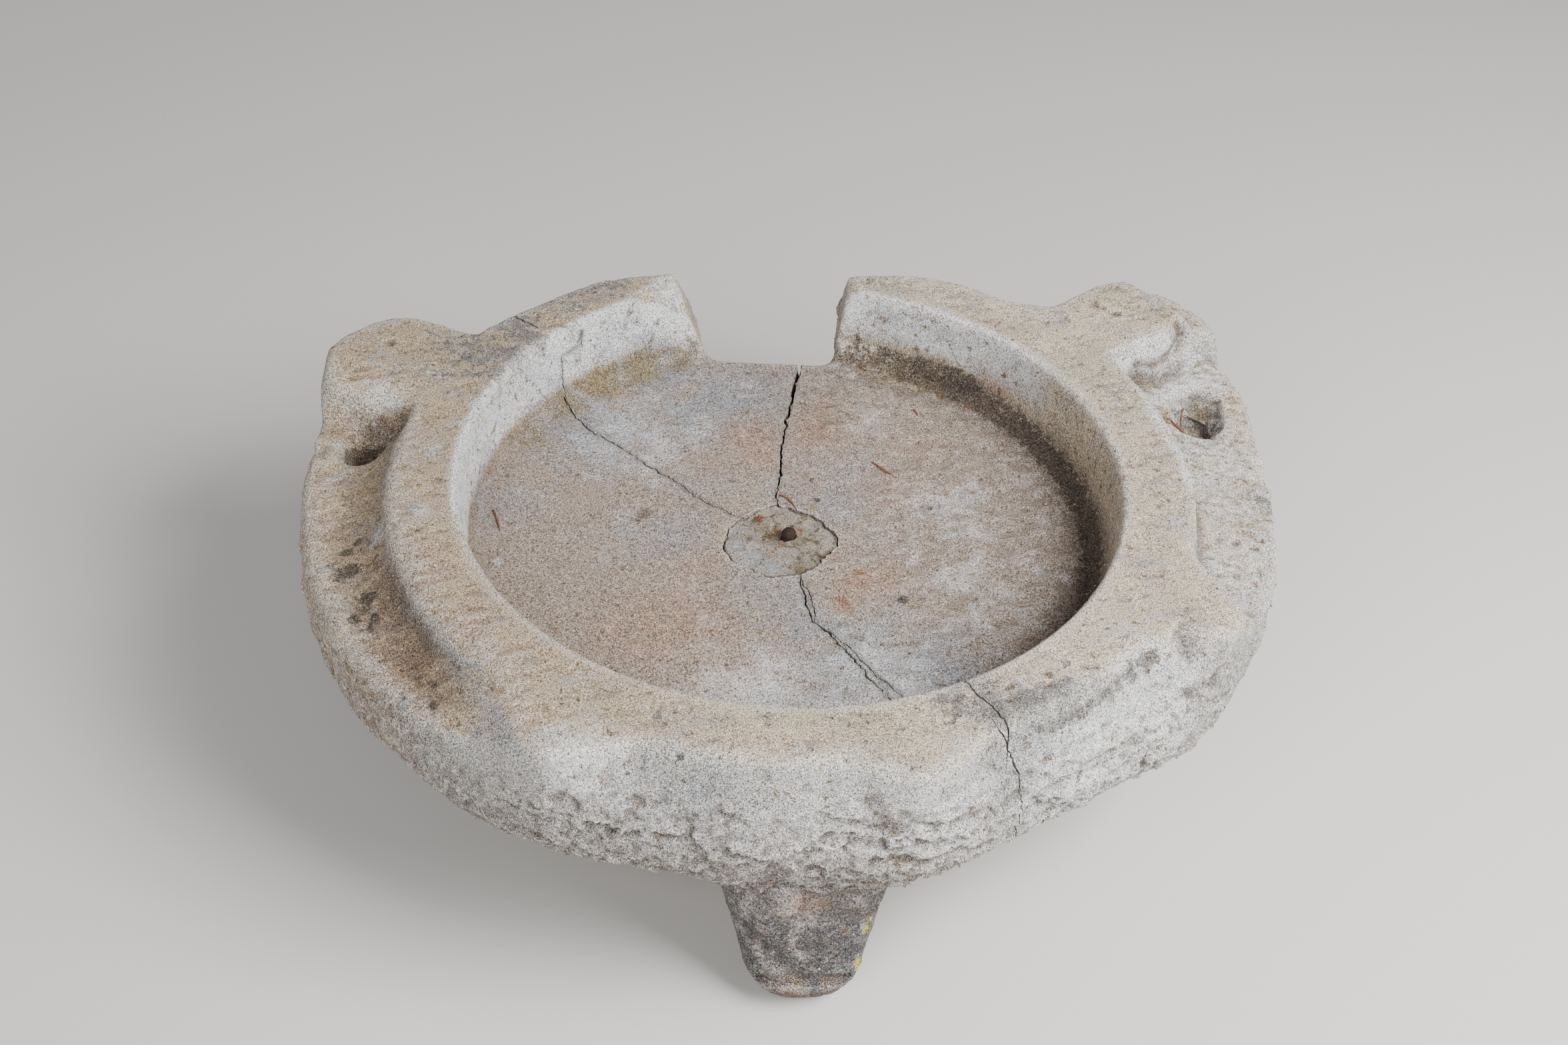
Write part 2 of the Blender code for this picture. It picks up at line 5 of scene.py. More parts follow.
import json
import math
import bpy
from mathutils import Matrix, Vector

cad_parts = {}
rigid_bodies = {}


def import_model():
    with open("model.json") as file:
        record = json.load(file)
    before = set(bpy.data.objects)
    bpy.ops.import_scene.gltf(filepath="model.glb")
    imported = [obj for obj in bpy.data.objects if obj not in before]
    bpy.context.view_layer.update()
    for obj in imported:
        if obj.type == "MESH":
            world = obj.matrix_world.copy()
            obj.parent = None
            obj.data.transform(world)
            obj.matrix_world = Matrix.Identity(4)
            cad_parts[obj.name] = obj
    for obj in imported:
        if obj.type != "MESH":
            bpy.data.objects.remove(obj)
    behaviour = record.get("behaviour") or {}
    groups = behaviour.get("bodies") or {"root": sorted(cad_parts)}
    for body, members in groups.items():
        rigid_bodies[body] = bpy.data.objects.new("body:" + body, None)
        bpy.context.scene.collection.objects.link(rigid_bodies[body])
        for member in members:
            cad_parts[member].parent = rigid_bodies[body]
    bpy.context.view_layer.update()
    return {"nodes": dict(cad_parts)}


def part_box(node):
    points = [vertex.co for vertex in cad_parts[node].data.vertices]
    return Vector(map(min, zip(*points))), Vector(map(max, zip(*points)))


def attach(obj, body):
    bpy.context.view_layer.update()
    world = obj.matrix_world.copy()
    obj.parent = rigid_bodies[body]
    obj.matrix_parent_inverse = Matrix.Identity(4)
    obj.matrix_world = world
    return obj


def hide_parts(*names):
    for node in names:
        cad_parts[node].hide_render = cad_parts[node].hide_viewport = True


bl_info = {
    "name": "Millstone Bed",
    "version": (1, 0, 0),
    "blender": (4, 5, 0),
    "location": "3D View > Sidebar > Millstone",
    "description": "Dresses the bed stone of a rotary hand mill",
    "category": "Object",
}

import bmesh
import bpy
import numpy as np
from bpy.props import FloatProperty, FloatVectorProperty, IntProperty, PointerProperty
from mathutils import Matrix, Vector, noise
from mathutils.bvhtree import BVHTree

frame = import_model()

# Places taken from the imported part: the spindle's axis, the rim's top and the feet's soles
STONE_LOW, STONE_HIGH = (Vector(corner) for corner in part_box("bed_stone"))
FILLING_LOW, FILLING_HIGH = (Vector(corner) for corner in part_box("spindle_filling"))
STUMP_LOW, STUMP_HIGH = (Vector(corner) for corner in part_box("spindle_stump"))
AXIS_X = (STUMP_LOW.x + STUMP_HIGH.x) / 2.0
AXIS_Y = (STUMP_LOW.y + STUMP_HIGH.y) / 2.0
RIM_TOP = STONE_HIGH.z

# The same sizes as the part's source has
BOWL_RADIUS = 0.230
BOWL_DEPTH = 0.057
FLOOR = RIM_TOP - BOWL_DEPTH
UNDERSIDE = 0.116
SHELF_TOP = RIM_TOP - 0.028
FRONT_FOOT_ANGLE = -85.4

MM = 0.001

# Cracks over the bowl's floor: (x, y, width) in mm from the spindle's axis
FLOOR_CRACKS = {
    "back": (
        (3, 222, 3.2), (3, 210, 3.0), (-1, 168, 2.4), (-5, 133, 2.2), (-8, 103, 1.7),
        (-8, 69, 1.5), (-10, 40, 1.2), (-8, 29, 1.0),
    ),
    "left": (
        (-178, 146, 1.3), (-169, 133, 1.2), (-154, 113, 1.2), (-135, 98, 1.2), (-122, 87, 1.0),
        (-109, 74, 1.0), (-85, 55, 1.0), (-70, 39, 1.0), (-57, 29, 0.9), (-32, 14, 0.8),
    ),
    "front": (
        (7, -40, 1.0), (9, -46, 1.0), (13, -69, 1.3), (19, -92, 1.5), (28, -100, 1.5),
        (44, -123, 1.3), (56, -142, 1.2), (67, -158, 1.0), (96, -206, 0.9),
    ),
    "front_branch": (
        (8, -44, 0.8), (16, -62, 0.8), (20, -78, 0.8), (20, -93, 0.7),
    ),
    "front_second": (
        (31, -102, 0.7), (50, -124, 0.8), (63, -143, 0.8), (78, -160, 0.7), (92, -182, 0.6),
    ),
}
# Crack across the rim at the back left: (x, y, height from the rim's top, width), then down the wall
LEFT_RIM_CRACK = (
    (-256, 206, 0, 1.6), (-220, 180, 0, 1.6), (-207, 170, 0, 1.7), (-196, 163, 0, 1.5),
    (-180, 166, 0, 1.6), (-170, 166, 0, 2.2), (-164, 170, -9, 2.6),
)
LEFT_SLOPE_CRACK = (
    (-163, 172, -8, 2.6), (-163.6, 170.7, -12, 2.4), (-165.9, 166.9, -17.4, 1.9),
    (-171.8, 160.1, -19.2, 1.4), (-177.3, 154.0, -19.5, 1.2), (-177.7, 151.8, -24.7, 1.2),
    (-177.3, 149.7, -32.5, 1.2), (-177.3, 147.2, -40.1, 1.2), (-176.8, 145.1, -48.0, 1.2),
    (-176.8, 142.7, -58.0, 1.3),
)
RIGHT_RIM_CRACK = (
    (92, -184, 0, 1.0), (112, -201, 0, 1.1), (119, -212, 0, 1.1), (129, -224, 0, 1.2),
    (137, -237, 0, 1.2), (141, -250, 0, 1.2), (142, -262, 0, 1.2),
)
RIGHT_SIDE_CRACK = (
    (136, -262, 8, 1.2), (140.6, -257, 0, 1.2), (144.1, -254, -12.4, 1.2),
    (149.2, -251, -33.3, 1.2), (151.2, -249.8, -53.0, 1.1), (150.9, -250, -74.7, 1.0),
    (149, -251, -100, 0.9),
)


def hex_colour(code):
    """Linear colour from an sRGB hex value."""
    values = [int(code[at:at + 2], 16) / 255.0 for at in (1, 3, 5)]
    return tuple(v / 12.92 if v <= 0.04045 else ((v + 0.055) / 1.055) ** 2.4 for v in values)


def add_node(tree, kind, inputs=None, output=0, **settings):
    """Adds a node, makes its settings, fills or links its inputs, and gives one of its outputs."""
    node = tree.nodes.new(kind)
    for name, value in settings.items():
        setattr(node, name, value)
    for key, value in (inputs or {}).items():
        if isinstance(value, bpy.types.NodeSocket):
            tree.links.new(value, node.inputs[key])
        else:
            node.inputs[key].default_value = value
    return node.outputs[output] if node.outputs else None


def new_piece(name, mesh):
    item = bpy.data.objects.new(name, mesh)
    bpy.context.scene.collection.objects.link(item)
    return item


def merged_copy(node):
    """Copy of a CAD node's mesh with its loose triangles joined."""
    body = bmesh.new()
    body.from_mesh(frame["nodes"][node].data)
    bmesh.ops.remove_doubles(body, verts=body.verts, dist=0.00001)
    mesh = bpy.data.meshes.new(node)
    body.to_mesh(mesh)
    body.free()
    return mesh


def finish_modifiers(item):
    """Works an object's modifiers into its mesh."""
    graph = bpy.context.evaluated_depsgraph_get()
    mesh = bpy.data.meshes.new_from_object(item.evaluated_get(graph))
    item.modifiers.clear()
    item.data = mesh


def remesh(item, grid):
    modifier = item.modifiers.new("grid", "REMESH")
    modifier.mode = "VOXEL"
    modifier.voxel_size = grid
    finish_modifiers(item)


def points_of(mesh):
    values = np.empty(len(mesh.vertices) * 3)
    mesh.vertices.foreach_get("co", values)
    return values.reshape(-1, 3)


def normals_of(mesh):
    values = np.empty(len(mesh.vertices) * 3)
    mesh.vertex_normals.foreach_get("vector", values)
    return values.reshape(-1, 3)


def edges_of(mesh):
    values = np.empty(len(mesh.edges) * 2, dtype=np.int32)
    mesh.edges.foreach_get("vertices", values)
    return values.reshape(-1, 2)


def set_points(mesh, points):
    mesh.vertices.foreach_set("co", points.ravel())
    mesh.update()


def set_mask(mesh, name, values):
    attribute = mesh.attributes.new(name, "FLOAT", "POINT")
    attribute.data.foreach_set("value", np.clip(values, 0.0, 1.0))


def ramp(values, low, high):
    """Eased rise from 0 at low to 1 at high."""
    share = np.clip((values - low) / (high - low), 0.0, 1.0)
    return share * share * (3.0 - 2.0 * share)


def band(values, low, high, soft):
    """1 between low and high, eased to 0 outside."""
    return ramp(values, low - soft, low) * (1.0 - ramp(values, high, high + soft))


def lumps(points, size, seed=0.0):
    """Smooth noise, about -1 to 1, with lumps of the given size in metres."""
    places = (points / size + seed).tolist()
    return np.array([noise.noise(place) for place in places]) * 1.6


def polar(points):
    """Distance from the spindle's axis, and degrees from +X, of each point."""
    x = points[:, 0] - AXIS_X
    y = points[:, 1] - AXIS_Y
    return np.hypot(x, y), np.degrees(np.arctan2(y, x))


def place(x, y, z):
    """Point from mm off the spindle's axis and mm above the rim's top."""
    return Vector((AXIS_X + x * MM, AXIS_Y + y * MM, RIM_TOP + z * MM))


def near(points, spot, reach):
    """1 at a spot, eased to 0 at its reach."""
    away = np.linalg.norm(points - np.array(spot), axis=1)
    return 1.0 - ramp(away, 0.0, reach)


def near_line(points, line, reach, flat=True):
    """1 on a line through places, eased to 0 at its reach. A flat one ignores height."""
    width = 2 if flat else 3
    here = points[:, :width]
    away = np.full(len(points), 1.0)
    for start, end in zip(line, line[1:]):
        low = np.array(start)[:width]
        along = np.array(end)[:width] - low
        share = np.clip((here - low) @ along / max(along @ along, 1e-9), 0.0, 1.0)
        away = np.minimum(away, np.linalg.norm(here - low - share[:, None] * along, axis=1))
    return 1.0 - ramp(away, 0.0, reach)


def soften(points, edges, weight, rounds):
    """Moves each point towards the middle of its neighbours, by its weight."""
    active = weight > 0.001
    kept = edges[active[edges[:, 0]] | active[edges[:, 1]]]
    used, local = np.unique(kept, return_inverse=True)
    local = local.reshape(-1, 2)
    some = points[used]
    share = weight[used][:, None]
    neighbours = np.bincount(local.ravel(), minlength=len(used)).clip(1)[:, None]
    total = np.empty_like(some)
    for _ in range(rounds):
        for axis in range(3):
            total[:, axis] = np.bincount(local[:, 0], some[local[:, 1], axis], len(used))
            total[:, axis] += np.bincount(local[:, 1], some[local[:, 0], axis], len(used))
        some = some + share * (total / neighbours - some)
    points = points.copy()
    points[used] = some
    return points


def shave(points, spot, facing, reach, rough=0.0008):
    """Cuts a flat facet: what stands past the plane through spot is brought back to it."""
    normal = np.array(Vector(facing).normalized())
    over = (points - np.array(spot)) @ normal
    local = 1.0 - ramp(np.linalg.norm(points - np.array(spot), axis=1), 0.8 * reach, reach)
    uneven = rough * lumps(points, 0.007, 3.0)
    return points - normal * (np.maximum(over + uneven, 0.0) * local)[:, None]


def dent(points, spot, reach, depth, facing=(0.0, 0.0, -1.0)):
    """Pushes a rounded hollow in."""
    return points + np.array(Vector(facing).normalized()) * (depth * near(points, spot, reach))[:, None]


def heal_floor(stone):
    """Fills the floor's cracks and the filling's pit, which are cut again after the carving."""
    body = bmesh.new()
    height = 0.034
    bmesh.ops.create_cone(
        body, cap_ends=True, segments=96, radius1=0.205, radius2=0.205, depth=height,
        matrix=Matrix.Translation((AXIS_X, AXIS_Y, FLOOR - height / 2.0)),
    )
    mesh = bpy.data.meshes.new("floor_plug")
    body.to_mesh(mesh)
    body.free()
    plug = new_piece("floor_plug", mesh)
    modifier = stone.modifiers.new("floor", "BOOLEAN")
    modifier.operation = "UNION"
    modifier.solver = "EXACT"
    modifier.object = plug
    finish_modifiers(stone)
    bpy.data.objects.remove(plug)


# Lines along which the stone is worn round: (line in mm, reach in mm, rounds)
ROUNDED = (
    # Outer edge and front end of the left ear
    (((-330, 20, -30), (-338, -30, -30), (-330, -80, -30), (-312, -125, -30), (-285, -170, -30),
      (-255, -205, -32), (-222, -232, -34)), 30, 46),
    (((-232, -170, -28), (-208, -196, -28), (-190, -222, -28), (-180, -244, -26), (-168, -262, -16)), 30, 60),
    # Foot and brow of the ring's wall over the left shelf
    (((-283, 40, -24), (-284, -40, -24), (-272, -92, -24), (-252, -132, -24), (-230, -165, -24)), 18, 30),
    (((-276, 45, 0), (-276, -30, 0), (-264, -84, 0), (-240, -132, 0), (-214, -168, 0), (-190, -200, 0)), 14, 20),
    (((-214, -168, 0), (-190, -200, 0), (-176, -228, 0), (-166, -256, -2)), 20, 40),
    # Edges and front slope of the left block
    (((-344, 40, -6), (-350, 100, -4), (-340, 150, -4), (-305, 178, -4), (-262, 172, -4)), 10, 6),
    (((-332, 80, -4), (-302, 78, -4), (-282, 80, -4)), 18, 30),
    (((-326, 74, -16), (-304, 72, -16), (-286, 70, -14)), 22, 60),
    (((-320, 62, -28), (-306, 66, -28), (-292, 64, -26)), 15, 40),
    # Edges of the right block and socket
    (((284, 160, -30), (300, 152, -30), (316, 142, -30), (318, 122, -30)), 12, 16),
    (((300, 205, -12), (318, 214, -14), (330, 222, -16)), 16, 12),
    # Front brow, right of the middle
    (((10, -280, -4), (45, -282, -5), (80, -280, -6), (108, -270, -5)), 14, 6),
    (((-170, -262, -6), (-190, -236, -4)), 18, 20),
)


def wear(points, edges, sizes):
    """Rounds the arrises: a little everywhere, more along the worn lines."""
    radius, degrees = polar(points)
    height = points[:, 2]
    weight = np.full(len(points), 0.55)
    lip = band(radius, 0.224, 0.240, 0.005) * ramp(height, FLOOR + 0.012, FLOOR + 0.024)
    weight -= 0.50 * lip
    brow = band(degrees, -126.0, -72.0, 5.0) * band(radius, 0.262, 0.300, 0.006)
    weight -= 0.45 * brow * ramp(height, RIM_TOP - 0.020, RIM_TOP - 0.010)
    ring_right = band(radius, 0.254, 0.296, 0.006) * band(degrees, -35.0, 36.0, 5.0)
    weight -= 0.40 * ring_right * ramp(height, SHELF_TOP - 0.004, SHELF_TOP + 0.008)
    weight[height < 0.0005] *= 0.3
    points = soften(points, edges, weight, sizes.wear_rounds)
    for line, reach, rounds in ROUNDED:
        path = [place(*spot) for spot in line]
        weight = 0.95 * near_line(points, path, reach * MM * 1.3, flat=False)
        points = soften(points, edges, weight, rounds)
    return points


# How far the rough foot of the bowl's wall stands up at the right: (degrees, mm over the floor)
ROUGH_FOOT = ((-30.0, 0.0), (20.0, 1.5), (45.0, 4.0), (55.0, 7.0), (66.0, 9.0), (76.0, 13.0), (82.0, 15.0))


# How far the wall leans out at the lip: (degrees, mm)
FLARE = ((-170, 1.2), (100, 1.2), (112, 9.0), (138, 9.0), (152, 6.0), (165, 3.5), (180, 1.6))


def carve_bowl(points):
    """Opens the wall out where it is worn, rounds its foot, and leaves it rough at the right."""
    radius, degrees = polar(points)
    height = points[:, 2]
    turn, flare = np.array(FLARE).T
    flare = np.interp(degrees, turn, flare * MM, period=360.0)
    over = height - FLOOR
    up = np.clip(over / BOWL_DEPTH, 0.0, 1.0)
    out = flare * up ** 0.9 * (1.0 - ramp(radius, 0.236, 0.244 + 3.0 * flare))
    turn, tall = np.array(ROUGH_FOOT).T
    foot_top = np.interp(degrees, turn, tall * MM, left=0.0, right=0.0)
    rough = ramp(foot_top, 0.0002, 0.004) * (1.0 - ramp(over, foot_top, foot_top + 0.002))
    wall = band(radius, 0.216, 0.236, 0.004)
    out -= rough * wall * (0.0030 + 0.0020 * lumps(points, 0.012, 5.0) + 0.0010 * lumps(points, 0.005, 2.0))
    out *= (radius < 0.275) & (over > -0.002)
    moved = points.copy()
    away = np.maximum(radius, 0.001)
    moved[:, 0] += out * (points[:, 0] - AXIS_X) / away
    moved[:, 1] += out * (points[:, 1] - AXIS_Y) / away
    foot = ramp(radius, 0.208, 0.228) * (1.0 - ramp(over, 0.0, 0.020)) * (over > -0.003)
    open_back = band(degrees, 80.0, 107.0, 4.0)
    moved[:, 2] += 0.0048 * foot * foot * (radius < 0.234) * (1.0 - open_back)
    return moved


# Radius of the ring's outer edge along the left shelf: (degrees, mm)
LEFT_RING_EDGE = ((-190, 279), (-174, 278), (-162, 277), (-151, 274), (-142, 272), (-133.5, 275), (-127.7, 284), (-122, 300))


def ease_left_shelf(points, edges):
    """Fills the corner under the ring's wall and lets the left shelf rise to its front end."""
    radius, degrees = polar(points)
    turn = np.where(degrees > 90.0, degrees - 360.0, degrees)
    angle, edge = np.array(LEFT_RING_EDGE).T
    away = np.clip((radius - np.interp(turn, angle, edge * MM)) / 0.034, 0.0, 1.0)
    level = SHELF_TOP + 0.017 * ramp(turn, -152.0, -124.0) * (1.0 - away)
    target = level + (RIM_TOP - 0.005 - level) * (1.0 - away) ** 2
    here = band(turn, -186.0, -120.0, 6.0) * ramp(points[:, 2], SHELF_TOP - 0.012, SHELF_TOP - 0.004)
    here *= radius > np.interp(turn, angle, edge * MM) - 0.004
    moved = points.copy()
    moved[:, 2] += here * np.maximum(target - points[:, 2], 0.0)
    reach = band(radius, 0.268, 0.330, 0.012) * band(turn, -184.0, -122.0, 8.0)
    return soften(moved, edges, 0.9 * reach * ramp(points[:, 2], SHELF_TOP - 0.012, SHELF_TOP - 0.004), 24)


# Facets broken or struck off: (spot in mm, facing, reach in mm)
FACETS = (
    ((-101, 232, -10), (0.62, -0.42, 0.66), 44),
    ((-104, 210, -26), (0.50, -0.75, 0.38), 40),
    ((-92, 262, -4), (0.55, 0.55, 0.62), 34),
    ((42, 240, -3), (-0.62, -0.10, 0.78), 18),
    ((44, 221, -14), (-0.60, -0.75, 0.25), 22),
    ((40, 278, -4), (-0.45, 0.60, 0.66), 22),
    ((160, -243, -5), (0.46, -0.62, 0.64), 26),
    ((196, -214, -6), (0.52, -0.55, 0.66), 40),
    ((240, -170, -6), (0.66, -0.44, 0.62), 36),
    ((268, 178, -9), (0.51, -0.74, 0.46), 22),
    ((286, 196, -5), (0.80, -0.40, 0.45), 20),
    # A slanting break on the front foot
    ((62, -268, -150), (0.86, -0.50, 0.0), 22),
)

# Hollows and pits: (spot in mm, reach in mm, depth in mm)
HOLLOWS = (
    ((-303, 135, 0), 6, 4.5),
    ((246, 215, 0), 7, 3.0),
    ((-105, 16, -57), 8, 2.0),
    # Funnel of the left socket, and the worn edge of the block beside it
    ((-307, 58, -32), 30, 7.0),
    ((-292, 66, -20), 14, 2.0),
    ((-340, 40, -30), 14, 4.0),
    ((-344, 88, -4), 10, 2.0),
    ((-325, 96, 0), 24, 2.0),
    ((-309, 88, 0), 26, 2.5),
    # Right block's foot, and the funnel of the right socket
    ((262, 166, -22), 14, 4.0),
    ((276, 172, -28), 18, 4.5),
    ((292, 180, -30), 14, 3.0),
    ((279, 121, -30), 5, 3.0),
    ((294, 150, -31), 18, 5.0),
    ((320, 100, -30), 30, 2.0),
    ((-295, -60, -30), 34, 2.0),
    ((-240, -180, -29), 26, 2.0),
    ((-150, 30, -57), 40, 0.7),
    ((110, -60, -57), 60, 0.9),
    ((60, -120, -57), 50, 0.6),
    ((234, 11, -3), 6, 2.5),
    ((-219, -180, 0), 7, 1.5),
    ((-163, -269, -2), 7, 1.5),
    ((-60, -275, -7), 4, 1.5),
    # Notches in the outline
    ((352, 60, -34), 16, 3.0),
    ((349, 20, -34), 14, 3.0),
    ((340, -40, -36), 18, 3.0),
    ((318, -90, -38), 18, 3.5),
    ((292, -132, -40), 16, 3.0),
    ((338, 160, -34), 14, 3.0),
    ((150, -262, -92), 14, 4.0),
    ((196, -236, -84), 16, 4.0),
    ((-352, -20, -40), 16, 2.5),
    ((-330, -110, -40), 18, 2.5),
    ((-286, -186, -44), 16, 3.0),
    ((-240, -232, -50), 18, 2.5),
)

# Long gouges and ledges: (line in mm, reach in mm, depth in mm, way in)
GOUGES = (
    (((175, -225, -14), (191, -212, -11), (207, -196, -11), (222, -179, -10), (238, -164, -8)), 4, 1.3, (-0.5, 0.5, -0.7)),
    (((249, -176, -39), (265, -165, -38), (282, -154, -37), (289, -148, -29)), 7, 1.8, (-0.8, 0.5, -0.2)),
    (((77, -292, -30), (96, -289, -43), (109, -282, -47), (120, -274, -47), (136, -264, -51), (148, -254, -50)), 6, 2.2, (-0.3, 0.9, 0.2)),
    (((51, -295, -55), (69, -294, -57), (88, -292, -57), (95, -290, -62), (107, -285, -63), (119, -278, -63)), 5, 2.2, (-0.2, 0.9, 0.2)),
    (((59, -296, -69), (75, -294, -68), (89, -291, -73), (103, -286, -71), (117, -279, -71), (121, -276, -76)), 6, 2.6, (-0.2, 0.9, 0.2)),
    (((156, -252, -69), (166, -243, -55), (185, -231, -55), (198, -221, -52), (227, -201, -52)), 6, 2.6, (-0.6, 0.7, 0.2)),
    (((166, -238, -34), (186, -225, -32), (208, -209, -30), (230, -192, -28), (250, -172, -26)), 5, 2.2, (-0.6, 0.7, 0.2)),
    (((176, -238, -80), (196, -225, -74), (216, -211, -70), (238, -194, -68)), 6, 2.8, (-0.6, 0.7, 0.2)),
    (((-150, -276, -78), (-120, -284, -74), (-84, -290, -76), (-48, -294, -80), (-10, -298, -82)), 6, 2.4, (0.1, 0.9, 0.3)),
    (((-120, -282, -56), (-96, -288, -52), (-70, -290, -56), (-44, -292, -62)), 6, 2.2, (0.1, 0.9, 0.3)),
    (((300, 226, -8), (298, 208, -9), (294, 198, -10), (290, 191, -14), (283, 184, -19), (277, 179, -21), (271, 176, -20), (260, 170, -16)), 5, 4.0, (-0.2, 0.6, -0.7)),
    (((302, 117, -31), (307, 134, -31), (309, 150, -31)), 21, 16.0, (0.0, 0.0, -1.0)),
    (((56, -290, -26), (66, -291, -42), (80, -291, -44)), 13, 4.0, (-0.1, 0.95, -0.1)),
    (((-88, -284, -36), (-84, -286, -38)), 6, 3.0, (0.3, 0.9, 0.0)),
    (((-103, -278, -8), (-101, -283, -34)), 9, 1.8, (0.3, 0.9, 0.0)),
    # Creases and hollows of the front foot
    (((-14, -282, -206), (6, -288, -197), (30, -287, -197), (50, -280, -203)), 7, 3.0, (0.0, 1.0, -0.3)),
    (((-18, -278, -160), (-2, -284, -180), (14, -288, -190)), 11, 3.0, (0.1, 1.0, 0.0)),
    (((36, -284, -132), (50, -280, -146), (56, -276, -152)), 11, 3.6, (-0.3, 0.9, 0.0)),
    (((64, -270, -146), (64, -270, -152)), 9, 3.0, (-1.0, 0.3, 0.0)),
    (((-10, -284, -126), (22, -288, -122)), 10, 2.4, (0.0, 1.0, 0.0)),
)


def sculpt(points, edges, sizes):
    """The stone's own worn and broken forms."""
    points = wear(points, edges, sizes)
    points = carve_bowl(points)
    points = ease_left_shelf(points, edges)
    for spot, facing, reach in FACETS:
        points = shave(points, place(*spot), facing, reach * MM)
    for spot, reach, depth in HOLLOWS:
        points = dent(points, place(*spot), reach * MM, depth * MM)
    for line, reach, depth, facing in GOUGES:
        path = [place(*spot) for spot in line]
        push = depth * MM * near_line(points, path, reach * MM, flat=False)
        points = points + np.array(Vector(facing).normalized()) * push[:, None]
    return points


def mark_relief(mesh):
    """Where each kind of tooling shows: hewn sides, beds, pecked shelves, strokes, the worn floor."""
    points = points_of(mesh)
    facing = normals_of(mesh)
    radius, degrees = polar(points)
    height = points[:, 2]
    x = points[:, 0] - AXIS_X
    side = 1.0 - ramp(np.abs(facing[:, 2]), 0.60, 0.90)
    outer = ramp(radius, 0.262, 0.280)
    below = 1.0 - ramp(height, RIM_TOP - 0.058, RIM_TOP - 0.016)
    sole = ramp(height, 0.001, 0.010)
    under = 0.6 * (1.0 - ramp(height, UNDERSIDE - 0.004, UNDERSIDE + 0.012))
    bowl = (radius < 0.240) & (height > FLOOR - 0.004)
    left_ear = band(degrees, 170.0, 180.0, 4.0) + band(degrees, -180.0, -125.0, 14.0)
    hewn = np.maximum(side * outer * below, under * np.maximum(side, 0.4)) * (1.0 - 0.45 * left_ear)
    hewn *= 0.32 + 0.68 * ramp(height, UNDERSIDE - 0.020, UNDERSIDE + 0.004)
    set_mask(mesh, "hewn", hewn * sole * ~bowl)
    front_right = band(degrees, -92.0, -28.0, 10.0)
    beds = 1.0 - ramp(height, RIM_TOP - 0.040, RIM_TOP - 0.012)
    set_mask(mesh, "ledged", side * outer * beds * front_right * (height > UNDERSIDE))
    shelf = ramp(facing[:, 2], 0.6, 0.9) * ramp(radius, 0.284, 0.300) * (height < RIM_TOP - 0.012)
    set_mask(mesh, "pecked", np.where(bowl, 0.15, 0.30 + 0.70 * np.maximum(shelf * (x > 0), 0.9 * hewn)) * sole)
    top = ramp(facing[:, 2], 0.7, 0.95) * (height > RIM_TOP - 0.010)
    set_mask(mesh, "stroked", np.maximum(top, 0.45 * shelf) * sole * ~bowl)
    floor = (radius < 0.222) & (np.abs(height - FLOOR) < 0.004)
    set_mask(mesh, "dimpled", floor * (0.15 + 0.85 * ramp(x, -0.02, 0.07)))


